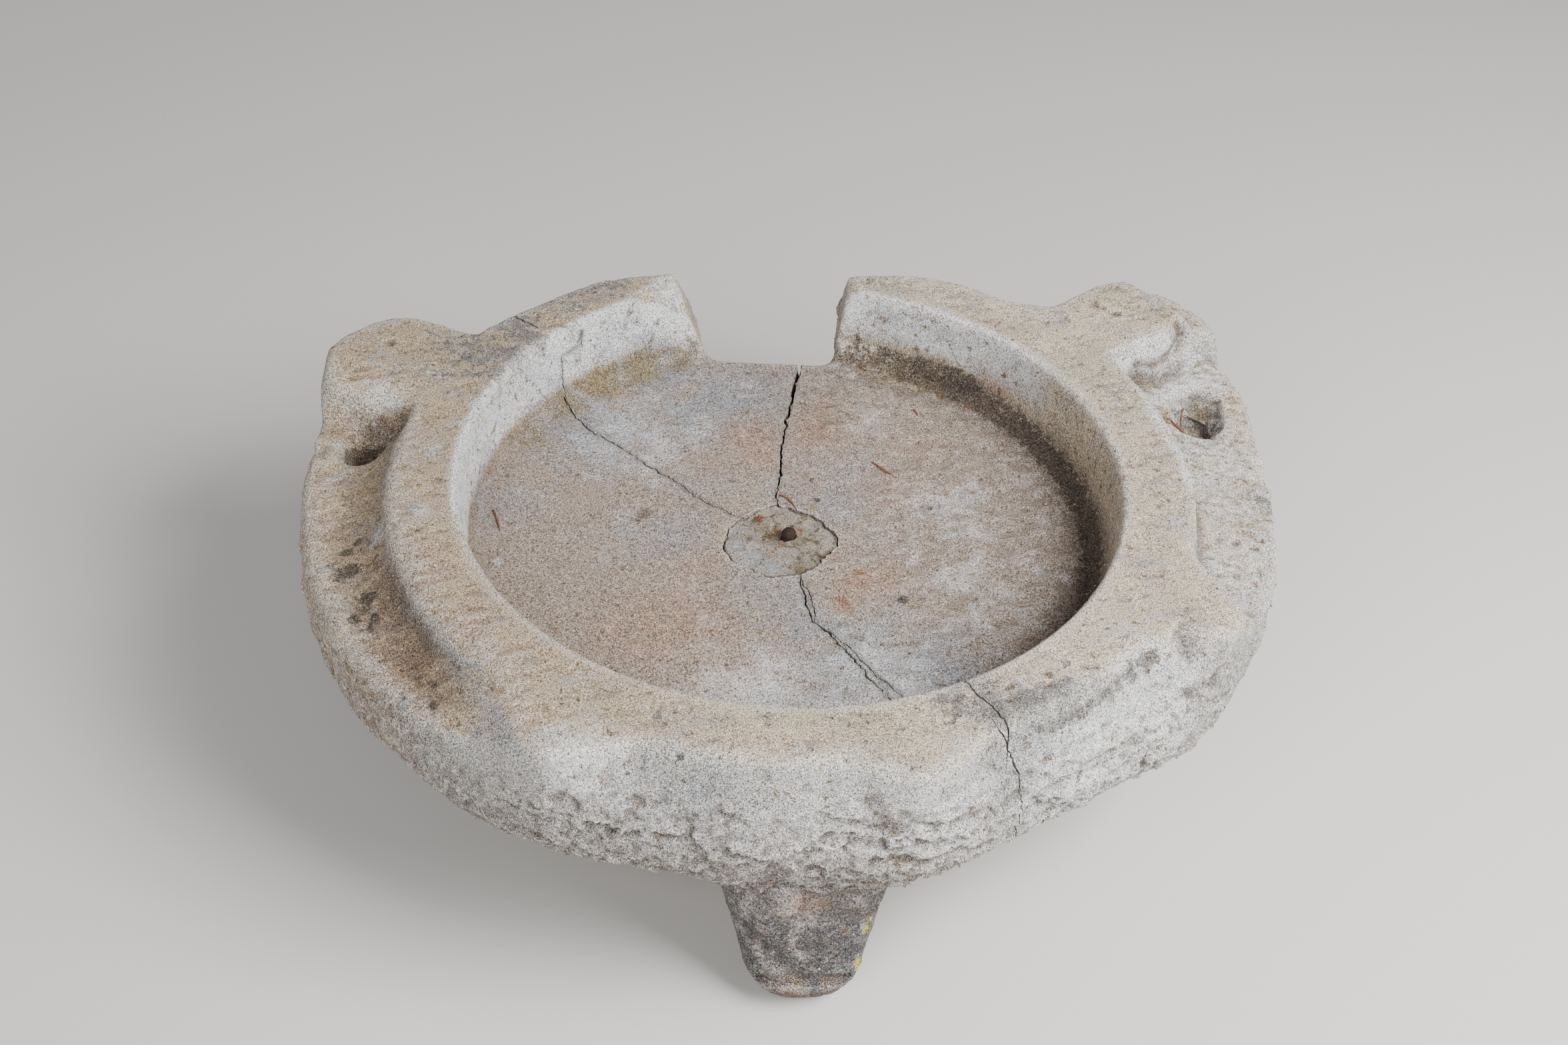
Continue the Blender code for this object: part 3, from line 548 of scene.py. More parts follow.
def relief_tree():
    """Geometry Nodes: spalls, bedding ledges, peck marks, tool strokes and the floor's dimples."""
    tree = bpy.data.node_groups.new("Tooled Stone", "GeometryNodeTree")
    interface = tree.interface
    interface.new_socket("Geometry", in_out="INPUT", socket_type="NodeSocketGeometry")
    for name in ("Spall Size", "Spall Slope", "Lump Size", "Lump Depth", "Ledge Spacing", "Ledge Depth",
                 "Peck Size", "Peck Depth", "Stroke Length", "Stroke Width", "Stroke Depth",
                 "Dimple Length", "Dimple Width", "Dimple Depth", "Seed"):
        interface.new_socket(name, in_out="INPUT", socket_type="NodeSocketFloat")
    interface.new_socket("Stone", in_out="INPUT", socket_type="NodeSocketMaterial")
    interface.new_socket("Geometry", in_out="OUTPUT", socket_type="NodeSocketGeometry")
    given = add_node(tree, "NodeGroupInput").node.outputs
    here = add_node(tree, "GeometryNodeInputPosition")
    normal = add_node(tree, "GeometryNodeInputNormal")

    # Places pushed about a little, so that the edges of cells wander
    wander = add_node(tree, "ShaderNodeTexNoise", {"Vector": here, "W": given["Seed"], "Scale": 70.0, "Detail": 3.0},
                      output="Color", noise_dimensions="4D")
    wander = add_node(tree, "ShaderNodeVectorMath", {0: wander, 1: (0.5, 0.5, 0.5)}, operation="SUBTRACT")
    wander = add_node(tree, "ShaderNodeVectorMath", {0: wander, "Scale": 0.022}, output="Vector", operation="SCALE")
    wavy = add_node(tree, "ShaderNodeVectorMath", {0: here, 1: wander}, operation="ADD")

    # Spalls: flat faces that lean out at their lower edge, each a little its own way
    spalls = []
    for share in (1.0, 0.42):
        scale = add_node(tree, "ShaderNodeMath", {0: 1.0 / share, 1: given["Spall Size"]}, operation="DIVIDE")
        centre = add_node(tree, "ShaderNodeTexVoronoi", {"Vector": wavy, "Scale": scale}, output="Position")
        lean = add_node(tree, "ShaderNodeVectorMath", {0: centre.node.outputs["Color"], 1: (-0.5, -0.5, -1.05)}, operation="ADD")
        reach = add_node(tree, "ShaderNodeVectorMath", {0: wavy, 1: centre}, operation="SUBTRACT")
        spalls.append(add_node(tree, "ShaderNodeVectorMath", {0: reach, 1: lean}, output="Value", operation="DOT_PRODUCT"))
    spall = add_node(tree, "ShaderNodeMath", {0: spalls[0], 1: spalls[1]}, operation="ADD")
    spall = add_node(tree, "ShaderNodeMath", {0: spall, 1: given["Spall Slope"]}, operation="MULTIPLY")

    # Lumps: broad swellings
    lump_scale = add_node(tree, "ShaderNodeMath", {0: 1.0, 1: given["Lump Size"]}, operation="DIVIDE")
    lump = add_node(tree, "ShaderNodeTexNoise", {
        "Vector": here, "W": given["Seed"], "Scale": lump_scale, "Detail": 5.0, "Roughness": 0.66}, noise_dimensions="4D")

    # Ledges: level beds that lean out downwards and break back sharply under their lip
    heights = add_node(tree, "ShaderNodeVectorMath", {0: wavy, 1: (0.12, 0.0, 1.0)}, output="Value", operation="DOT_PRODUCT")
    level = add_node(tree, "ShaderNodeMath", {0: heights, 1: given["Ledge Spacing"]}, operation="DIVIDE")
    ledge = add_node(tree, "ShaderNodeMath", {0: level}, operation="FRACT")
    patchy = add_node(tree, "ShaderNodeTexNoise", {"Vector": here, "Scale": 26.0, "Detail": 1.0})
    patchy = add_node(tree, "ShaderNodeMapRange", {"Value": patchy, "From Min": 0.38, "From Max": 0.60})
    ledge = add_node(tree, "ShaderNodeMath", {0: ledge, 1: patchy}, operation="MULTIPLY")

    # Pecks: small round pits
    peck_scale = add_node(tree, "ShaderNodeMath", {0: 1.0, 1: given["Peck Size"]}, operation="DIVIDE")
    peck = add_node(tree, "ShaderNodeTexVoronoi", {"Vector": wavy, "Scale": peck_scale, "Smoothness": 0.3},
                    output="Distance", feature="SMOOTH_F1")

    # Strokes and dimples: noise drawn out along the tool's way
    drawn = []
    for length, width, turn in (("Stroke Length", "Stroke Width", -22.0), ("Dimple Length", "Dimple Width", -14.0)):
        turned = add_node(tree, "ShaderNodeVectorRotate", {
            "Vector": here, "Axis": (0.0, 0.0, 1.0), "Angle": math.radians(turn)}, rotation_type="AXIS_ANGLE")
        size = add_node(tree, "ShaderNodeCombineXYZ", {0: given[length], 1: given[width], 2: given[width]})
        shrunk = add_node(tree, "ShaderNodeVectorMath", {0: turned, 1: size}, operation="DIVIDE")
        drawn.append(add_node(tree, "ShaderNodeTexNoise", {
            "Vector": shrunk, "W": given["Seed"], "Scale": 1.0, "Detail": 1.5, "Roughness": 0.5}, noise_dimensions="4D"))
    dimple = add_node(tree, "ShaderNodeMapRange", {"Value": drawn[1], "From Min": 0.40, "From Max": 0.56, "To Min": -1.0, "To Max": 0.0})

    # Each height, less its middle, times its gain, its mask and its depth
    total = 0.0
    for height, middle, gain, mask, depth in (
        (spall, 0.0, 1.0, "hewn", None),
        (lump, 0.60, 3.0, "hewn", "Lump Depth"),
        (ledge, 0.65, -1.0, "ledged", "Ledge Depth"),
        (peck, 0.42, 2.2, "pecked", "Peck Depth"),
        (drawn[0], 0.54, 4.0, "stroked", "Stroke Depth"),
        (dimple, 0.0, 1.0, "dimpled", "Dimple Depth"),
    ):
        share = add_node(tree, "GeometryNodeInputNamedAttribute", {"Name": mask}, data_type="FLOAT")
        if depth:
            share = add_node(tree, "ShaderNodeMath", {0: share, 1: given[depth]}, operation="MULTIPLY")
        height = add_node(tree, "ShaderNodeMath", {0: height, 1: middle}, operation="SUBTRACT")
        height = add_node(tree, "ShaderNodeMath", {0: height, 1: gain}, operation="MULTIPLY")
        total = add_node(tree, "ShaderNodeMath", {0: height, 1: share, 2: total}, operation="MULTIPLY_ADD")
    offset = add_node(tree, "ShaderNodeVectorMath", {0: normal, "Scale": total}, output="Vector", operation="SCALE")
    moved = add_node(tree, "GeometryNodeSetPosition", {"Geometry": given["Geometry"], "Offset": offset})
    real = add_node(tree, "GeometryNodeRealizeInstances", {0: moved})
    dressed = add_node(tree, "GeometryNodeSetMaterial", {"Geometry": real, "Material": given["Stone"]})
    add_node(tree, "NodeGroupOutput", {"Geometry": dressed})
    return tree


def tool_surface(item, values, material):
    """Gives an object the relief tree, with its inputs set by their identifiers."""
    tree = relief_tree()
    modifier = item.modifiers.new("tooling", "NODES")
    modifier.node_group = tree
    for socket in tree.interface.items_tree:
        if socket.in_out == "INPUT" and socket.name in values:
            modifier[socket.identifier] = values[socket.name]
        if socket.in_out == "INPUT" and socket.name == "Stone":
            modifier[socket.identifier] = material


def thin_out(item, triangles):
    """Reduces a mesh to a number of triangles, first on the underside and the inner feet."""
    mesh = item.data
    points = points_of(mesh)
    radius, degrees = polar(points)
    hidden = (points[:, 2] < UNDERSIDE + 0.004) & (radius < 0.222)
    back = (points[:, 1] > AXIS_Y + 0.20) & (points[:, 2] < RIM_TOP - 0.01)
    group = item.vertex_groups.new(name="thin")
    plain = ~(hidden | back)
    group.add(np.flatnonzero(plain).tolist(), 0.05, "REPLACE")
    group.add(np.flatnonzero(back & ~hidden).tolist(), 0.45, "REPLACE")
    group.add(np.flatnonzero(hidden).tolist(), 0.9, "REPLACE")
    modifier = item.modifiers.new("thin", "DECIMATE")
    modifier.vertex_group = group.name
    modifier.vertex_group_factor = 0.0002
    modifier.ratio = triangles / (2.0 * len(mesh.polygons))


def ring_loft(name, rings):
    """Closed body through rings of equally many points."""
    body = bmesh.new()
    rows = [[body.verts.new(point) for point in ring] for ring in rings]
    for upper, lower in zip(rows, rows[1:]):
        for index in range(len(upper)):
            after = (index + 1) % len(upper)
            body.faces.new((upper[index], lower[index], lower[after], upper[after]))
    for ring in (rows[0], rows[-1]):
        bmesh.ops.triangulate(body, faces=[body.faces.new(ring)])
    bmesh.ops.recalc_face_normals(body, faces=body.faces)
    mesh = bpy.data.meshes.new(name)
    body.to_mesh(mesh)
    body.free()
    return mesh


def crack_wedge(name, line, inward, depth, clear=0.008):
    """Wedge along a jagged line. line holds (point, width); inward gives the way in at a point."""
    step = 0.0024
    stations = []
    for (start, wide), (end, narrow) in zip(line, line[1:]):
        count = max(int((end - start).length / step), 1)
        for index in range(count):
            share = index / count
            stations.append((start.lerp(end, share), wide + (narrow - wide) * share))
    stations.append(line[-1])
    levels = (-clear, -0.003, 0.0, 0.004, 0.010, depth)
    rings = []
    for index, (point, width) in enumerate(stations):
        before = stations[max(index - 2, 0)][0]
        after = stations[min(index + 2, len(stations) - 1)][0]
        into = inward(point).normalized()
        aside = (after - before).cross(into).normalized()
        jag = 0.0013 * noise.noise(point / 0.0083) + 0.0014 * noise.noise(point / 0.0021)
        wide = width * MM / 2.0 * (1.0 + 0.9 * noise.noise(point / 0.0047 + Vector((0, 9, 0))))
        left = []
        right = []
        for level in levels:
            half = wide * (0.12 if level == depth else 1.0)
            lean = 0.10 * max(level, 0.0) * noise.noise(point / 0.02)
            left.append(point + into * level + aside * (jag + lean + half))
            right.append(point + into * level + aside * (jag + lean - half))
        rings.append(left + right[::-1])
    return ring_loft(name, rings)


def filling_outline():
    """Distance of the filling's edge from its centre, by degrees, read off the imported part."""
    centre = (FILLING_LOW + FILLING_HIGH) / 2.0
    points = points_of(merged_copy("spindle_filling"))
    x = points[:, 0] - centre.x
    y = points[:, 1] - centre.y
    edge = np.hypot(x, y) > 0.030
    upper = edge & (points[:, 2] < FILLING_HIGH.z - 0.0005) & (points[:, 2] > FILLING_HIGH.z - 0.004)
    turns = np.degrees(np.arctan2(y, x))[upper]
    reach = np.hypot(x, y)[upper]
    order = np.argsort(turns)
    return centre, turns[order], reach[order]


# Width of the joint round the filling: (degrees from its centre, mm)
JOINT = ((-180, 0.6), (-165, 1.1), (-95, 1.0), (-60, 0.8), (-35, 0.6), (20, 0.9), (60, 0.9), (85, 0.6), (105, 0.2), (180, 0.6))


def filling_reach(degrees, joint):
    """Ragged edge of the filling, or of its pit where the joint is added."""
    centre, turns, reach = filling_outline()
    base = np.interp(degrees, turns, reach, period=360.0)
    angle = np.radians(degrees)
    spots = np.stack([np.cos(angle) * base, np.sin(angle) * base, 0.0 * angle], axis=1)
    ragged = 0.0015 * lumps(spots, 0.007, 2.0) + 0.0009 * lumps(spots, 0.0025, 4.0)
    at = (np.asarray(degrees) + 180.0) % 360.0 - 180.0
    gap = np.interp(at, *np.array(JOINT).T) * MM
    return centre, base + ragged + joint * gap


def cut_cracks(stone):
    """Cuts the cracks and the filling's pit out of the carved stone."""
    def down(point):
        return Vector((0.0, 0.0, -1.0))

    def outward(point):
        return Vector((point.x - AXIS_X, point.y - AXIS_Y, 0.0))

    def inward(point):
        return -outward(point)

    meshes = []
    for name, line in FLOOR_CRACKS.items():
        path = [(place(x, y, -57), width) for x, y, width in line]
        meshes.append(crack_wedge(name, path, down, 0.020))
    path = [(place(x, y, z), width) for x, y, z, width in LEFT_RIM_CRACK]
    meshes.append(crack_wedge("left_rim", path, down, 0.040))
    path = [(place(x, y, z), width) for x, y, z, width in LEFT_SLOPE_CRACK]
    meshes.append(crack_wedge("left_slope", path, outward, 0.020))
    path = [(place(x, y, z), width) for x, y, z, width in RIGHT_RIM_CRACK]
    meshes.append(crack_wedge("right_rim", path, down, 0.035))
    path = [(place(x, y, z), width) for x, y, z, width in RIGHT_SIDE_CRACK]
    meshes.append(crack_wedge("right_side", path, inward, 0.030, 0.016))
    turns = np.arange(0.0, 360.0, 2.0)
    rings = []
    for z, joint in ((FLOOR + 0.006, 1.5), (FLOOR - 0.0008, 1.0), (FLOOR - 0.021, 0.3)):
        centre, reach = filling_reach(turns, joint)
        x = centre.x + reach * np.cos(np.radians(turns))
        y = centre.y + reach * np.sin(np.radians(turns))
        rings.append([Vector((a, b, z)) for a, b in zip(x, y)])
    meshes.append(ring_loft("filling_pit", rings))
    for mesh in meshes:
        cutter = new_piece("cutter_" + mesh.name, mesh)
        modifier = stone.modifiers.new(mesh.name, "BOOLEAN")
        modifier.operation = "DIFFERENCE"
        modifier.solver = "MANIFOLD"
        modifier.object = cutter
    before = len(stone.data.vertices)
    finish_modifiers(stone)
    if len(stone.data.vertices) <= before:
        raise RuntimeError("the cracks didn't cut the stone")
    for item in [item for item in bpy.data.objects if item.name.startswith("cutter_")]:
        bpy.data.objects.remove(item)


# Stains on the stone, by kind: (x, y, height, reach, strength), in mm from the spindle's axis and
# the rim's top
STAINS = {
    "blue": (
        (-145, 109, -57, 60, 1.0), (-77, 139, -57, 62, 0.9), (-111, 189, -57, 50, 0.9), (-87, -5, -57, 45, 0.55),
        (27, 48, -57, 60, 0.6), (-13, -72, -57, 50, 0.65), (51, -135, -57, 66, 1.0), (100, -138, -57, 56, 0.9),
        (-47, 158, -57, 60, 0.9), (20, -105, -57, 45, 0.8), (-210, 20, -57, 40, 0.5), (10, -190, -57, 60, 0.6),
        (-140, 196, -30, 60, 0.4), (-60, 60, -57, 40, 0.5), (44, -20, -57, 30, 0.5), (170, -232, -40, 44, 0.8),
        (156, -246, -40, 40, 0.7), (-47, -285, -26, 46, 0.5), (0, -200, -57, 60, 0.5), (70, 215, -20, 40, 0.5),
    ),
    "peach": (
        (34, -14, -57, 30, 0.6), (51, -47, -57, 24, 0.8), (40, -72, -57, 16, 0.9), (-35, 116, -57, 34, 0.7),
        (25, 129, -57, 40, 0.65), (65, -39, -57, 28, 0.6), (-61, -40, -57, 26, 0.5), (-53, -102, -57, 60, 0.55),
        (70, 51, -57, 36, 0.5), (-30, -150, -57, 55, 0.55), (-90, -110, -57, 60, 0.5), (-20, 90, -57, 30, 0.6),
        (-60, 75, -57, 30, 0.5), (18, -281, -128, 14, 0.5), (31, -280, -129, 9, 0.7), (20, -290, -216, 26, 0.5), (157, 164, -32, 26, 0.7),
        (-232, -183, -29, 30, 0.6), (-213, -170, 0, 26, 0.6), (-240, -110, 0, 40, 0.45), (-267, -186, -32, 40, 0.4),
        (10, 60, -57, 26, 0.5), (-25, 8, -57, 16, 0.7), (90, 110, -57, 50, 0.4),
    ),
    "algae": (
        (-177, 141, -55, 20, 0.9), (-151, 168, -55, 24, 1.0), (-121, 190, -55, 24, 1.0), (-92, 203, -56, 18, 0.7),
        (56, 210, -54, 20, 0.6), (80, 202, -54, 22, 0.9), (104, 194, -54, 22, 1.0), (128, 180, -55, 20, 0.7),
        (246, 238, -2, 30, 0.5), (280, 214, -3, 24, 0.5), (284, 228, -1, 8, 0.9), (279, 124, -30, 9, 0.9),
        (200, 238, -2, 26, 0.3), (-190, 95, -56, 24, 0.5), (16, 30, -57, 12, 0.6), (150, 162, -56, 14, 0.6),
        (330, 40, -33, 26, 0.5), (325, 0, -34, 30, 0.5), (316, 200, -33, 30, 0.4),
    ),
    "dark": (
        
        (-293, -23, -29, 5, 1.0), (-287, -9, -28, 4, 0.9), (-289, 13, -28, 5, 1.0), (-287, -53, -29, 5, 1.0),
        (-293, -64, -29, 7, 0.9), (-300, -74, -30, 7, 1.0), (-293, -94, -30, 12, 1.0), (-300, -103, -31, 7, 1.0),
        (-292, -105, -30, 5, 0.9), (-276, -121, -29, 10, 1.0), (-290, -122, -31, 7, 0.9), (-275, -131, -30, 7, 0.9),
        (-283, -141, -31, 8, 1.0), (-267, -140, -29, 8, 1.0), (-262, -129, -29, 5, 1.0), (-270, -149, -30, 7, 0.9),
        (-242, -163, -29, 7, 1.0), (-233, -169, -28, 7, 1.0), (-225, -191, -29, 8, 1.0), (-231, -195, -29, 7, 0.9),
        (-220, -202, -29, 10, 0.9), (-210, -201, -28, 8, 1.0), (-239, -214, -31, 8, 1.0), (-204, -217, -29, 8, 1.0),
        (-218, -218, -30, 7, 0.9), (-259, -119, -24, 7, 0.9), (-265, -103, -22, 5, 0.9), (94, -30, -57, 5, 0.9),
        (81, -64, -57, 7, 1.0), (74, -80, -57, 4, 0.9), (102, 38, -57, 5, 0.9), (14, 62, -57, 4, 0.9), (30, 34, -57, 4, 0.8),
        (20, 40, -57, 4, 0.9), (-101, -291, -59, 7, 0.8), (-7, -244, 0, 7, 0.7), (-60, -275, -6, 4, 1.0),
        (69, 215, -47, 10, 0.9), (97, 204, -49, 11, 1.0), (123, 189, -50, 14, 1.0), (136, 180, -50, 14, 1.0),
        # In the next line, the last two spots are painted shade in the crease above the front foot's toe
        (-163, -269, -2, 7, 0.8), (53, -281, -201, 11, 0.8), (-9, -281, -200, 8, 0.9),
    ),
    "grey": (
        (-203, 150, 0, 18, 0.9), (-211, 128, 0, 16, 0.9), (-190, 141, -2, 12, 0.7), (-222, 176, 0, 36, 0.8), (-186, 216, -2, 40, 0.8), (-150, 238, -2, 36, 0.75), (-122, 254, -2, 34, 0.6),
        (110, -224, 0, 26, 0.8), (135, -232, -2, 24, 0.9), (155, -226, 0, 26, 1.0), (177, -212, -1, 24, 1.0),
        (200, -196, -1, 14, 0.7), (120, -196, 0, 16, 0.8), (262, -138, -4, 14, 0.6), (228, -176, -3, 12, 0.8),
        (-310, -94, -32, 12, 0.9), (341, 27, -33, 13, 1.0), (124, -205, 0, 16, 0.6), (146, -256, -20, 14, 0.7),
        (191, -212, -14, 8, 0.8), (207, -196, -14, 9, 0.9), (222, -179, -13, 9, 0.9), (232, -168, -12, 8, 0.8),
        (265, -165, -38, 9, 0.8), (282, -154, -37, 9, 0.8), (-75, -247, 0, 5, 1.0), (-262, -60, -6, 20, 0.45),
        (60, 262, 0, 26, 0.5), (16, -268, -3, 10, 0.4), (-236, 130, 0, 50, 0.65), (-220, 100, 0, 34, 0.5),
    ),
    "rust": (
        (4, -3, -57, 14, 0.8), (-9, -12, -57, 8, 0.7), (10, 2, -57, 10, 0.6), (40, -70, -57, 6, 0.9),
        (74, -293, -37, 5, 1.0), (51, -40, -57, 7, 0.5), (-232, -183, -29, 7, 0.9), (-246, -166, -29, 5, 0.8),
        (-226, -223, -31, 8, 0.8), (-213, -170, 0, 5, 0.7), (-227, -231, -45, 5, 0.8), (-219, -182, -24, 4, 1.0),
        (-247, -183, -30, 6, 0.6), (-226, -175, -28, 6, 0.7), (-97, -264, 0, 5, 0.6), (-110, -278, -22, 6, 0.5),
        (63, -268, -156, 5, 0.9), (234, 11, -4, 6, 1.0), (-219, -140, 0, 4, 0.7), (136, 161, -57, 4, 0.8),
    ),
    "lichen": ((58, -270, -197, 7, 1.0), (62, -268, -166, 5, 1.0), (64, -266, -160, 4, 1.0)),
    "pale": (
        (-96, 226, -10, 22, 0.9), (267, 178, -10, 16, 1.0),
        (282, 189, -6, 14, 0.9), (249, 163, -12, 14, 1.0), (283, 171, -32, 14, 0.8), (309, 193, -33, 16, 0.8),
        (297, 150, -32, 14, 0.8), (321, 176, -35, 16, 0.7), (-226, 36, -2, 5, 1.0), (-223, -42, -2, 5, 1.0), (-205, -41, -57, 4, 1.0),
        (-116, -277, -15, 30, 0.9), (105, -283, -34, 44, 0.7), (40, -290, -24, 50, 0.5), (200, -232, -50, 64, 0.9),
        (-268, 10, -14, 16, 0.4), (-276, -71, -14, 12, 0.6), (-250, -60, 0, 8, 0.6), (240, -190, -30, 54, 0.9),
        (-302, 80, -3, 20, 0.6), (60, 140, -57, 40, 0.3), (120, 40, -57, 50, 0.3), (130, -40, -57, 50, 0.3),
        (45, -290, -50, 30, 0.5), (318, 60, -30, 60, 0.6), (332, -20, -32, 50, 0.5), (300, -60, -32, 50, 0.5),
        (-20, -170, -57, 64, 0.6), (60, -150, -57, 54, 0.5), (-120, 110, -57, 60, 0.4), (310, 16, -32, 40, 0.5),
    ),
    "dirt": (
        (-306, 52, -46, 26, 1.0), (-300, 64, -30, 20, 1.0), (-262, -130, -28, 44, 0.9), (-235, -172, -28, 44, 0.9),
        (-214, -206, -28, 36, 0.85), (-288, -88, -29, 32, 0.5), (-318, -60, -30, 34, 0.4),
        (-290, -130, -32, 40, 0.55), (-262, -176, -34, 40, 0.8), (-236, -208, -34, 36, 0.75), (318, 134, -38, 10, 0.8), (20, 150, -57, 70, 0.4), (-20, 195, -57, 44, 0.4), (-292, 70, -18, 14, 0.6), (-284, 30, -24, 14, 0.5),
        (-286, 0, -24, 12, 0.4), (-288, -36, -24, 14, 0.45), (-286, -70, -24, 16, 0.55), (-278, -96, -22, 18, 0.7),
        (-266, -119, -24, 18, 0.8), (-253, -147, -23, 20, 0.8), (-238, -168, -22, 20, 0.8), (-219, -190, -18, 20, 0.7),
        (-206, -206, -16, 16, 0.6), (-196, -224, -16, 12, 0.4), (-340, 86, -5, 10, 0.8), (-320, 74, -9, 9, 0.6),
        (265, 167, -24, 15, 1.0), (275, 173, -28, 13, 1.0), (286, 178, -30, 10, 0.7), (-303, 135, -2, 5, 1.0),
        (246, 215, -2, 5, 1.0), (-105, 16, -58, 8, 0.9), (-200, 107, -56, 6, 1.0), (66, -292, -41, 13, 0.8),
        (300, 130, -46, 14, 0.8), (250, 60, -57, 4, 0.5),
        (60, 183, -57, 5, 0.9), (44, 188, -57, 6, 0.8), (74, 180, -57, 5, 0.8), (93, 175, -57, 4, 0.9),
        (108, 164, -57, 4, 0.8), (120, 164, -57, 4, 0.8), (63, 164, -57, 5, 0.7), (131, 145, -57, 5, 0.7),
        (8, 148, -57, 6, 0.7), (30, 172, -57, 6, 0.7), (141, 179, -27, 3, 0.9), (-88, -284, -36, 4, 0.9),
    ),
}


# Stains along lines: (kind, line, reach in mm, strength)
STAIN_LINES = (
    ("dirt", ((300, 236, -8), (302, 218, -10), (294, 200, -8), (290, 192, -13), (283, 184, -19), (277, 179, -21), (271, 176, -20), (260, 170, -16)), 4, 1.0),
    ("dirt", ((300, 116, -38), (306, 132, -44), (308, 150, -42)), 18, 0.75),
    ("algae", ((300, 112, -36), (306, 132, -44), (308, 150, -42)), 14, 0.6),
    ("dark", ((300, 226, -8), (300, 212, -10), (294, 200, -9), (290, 192, -14), (283, 184, -20), (277, 179, -22), (270, 175, -20), (260, 170, -16)), 2.4, 1.0),
    ("pale", ((272, 146, -30), (300, 172, -33), (322, 192, -33)), 11, 1.0),
    # Painted shade in the crease above the front foot's toe
    ("dirt", ((-14, -284, -205), (6, -290, -197), (30, -289, -197), (50, -282, -203)), 6, 0.9),
    # Painted shade: a dark line at the foot of the ring's wall over the right shelf
    ("dirt", ((262, 112, -28), (270, 85, -28), (277, 66, -28), (281, 45, -28), (286, 20, -28), (288, -10, -28)), 4, 0.6),
    # Painted highlight: a pale line along the ring's outer edge at the right
    ("pale", ((243, 164, -1), (252, 142, -1), (257, 108, -1), (263, 82, -1), (268, 68, -1), (272, 47, -1), (276, 36, -1), (279, 0, -1)), 3.4, 1.0),
    ("dirt", ((-286, 60, -26), (-284, 30, -24), (-285, 0, -24), (-286, -36, -24), (-283, -70, -24)), 5, 0.7),
    # Painted shade at the foot of the ring's wall, on towards the right block
    ("dirt", ((257, 164, -22), (264, 140, -28), (276, 112, -29)), 3, 0.5),
    ("grey", ((175, -225, -14), (191, -212, -11), (207, -196, -11), (222, -179, -10), (238, -164, -8)), 6, 0.8),
    # These three: painted shade under the ledges, along the gouges of the front and right belly
    ("dirt", ((77, -292, -30), (96, -289, -43), (109, -282, -47), (120, -274, -47), (136, -264, -51), (148, -254, -50)), 4, 0.6),
    ("dirt", ((59, -296, -69), (75, -294, -68), (89, -291, -73), (103, -286, -71), (117, -279, -71)), 4, 0.6),
    ("dirt", ((156, -252, -69), (166, -243, -55), (185, -231, -55), (198, -221, -52), (227, -201, -52)), 4, 0.5),
)


# Stains on the filling, by kind: (x, y, reach, strength) in mm from the spindle's axis
FILLING_STAINS = {
    "chalky": ((-35, -16, 11, 1.0), (-26, -30, 12, 1.0), (-12, -38, 10, 1.0), (2, -46, 9, 1.0), (-34, 4, 9, 0.7), (22, 12, 9, 0.6)),
    "tan": ((0, 0, 24, 0.9), (-20, 14, 12, 1.0), (-4, 18, 10, 0.8), (16, -14, 16, 0.6), (28, -20, 9, 1.0), (8, -36, 9, 0.9)),
    # The olive and stain spots at (-11, 3) are painted shadow cast by the stump onto the filling
    "olive": ((8, -6, 10, 0.8), (-11, 3, 8, 1.0), (-4, -9, 8, 0.8), (10, -37, 6, 0.8)),
    "stain": ((-22, 16, 7, 0.9), (-11, 3, 7, 1.0), (0, 0, 8, 0.9), (-10, -18, 5, 0.6)),
    "edge_dirt": ((24, -21, 8, 0.8), (-36, 10, 6, 0.5)),
    "orange": ((8, 6, 3.4, 1.0), (-5.5, -11, 2.2, 1.0), (-21, 17, 3.0, 0.7), (28, -19, 3, 0.6)),
    "black": ((9, 3, 1.6, 1.0), (23, -21, 3.4, 1.0), (-6, 3, 4.0, 0.9)),
    "white": ((-9, -9, 2.2, 1.0), (-11, -8, 1.6, 1.0)),
}


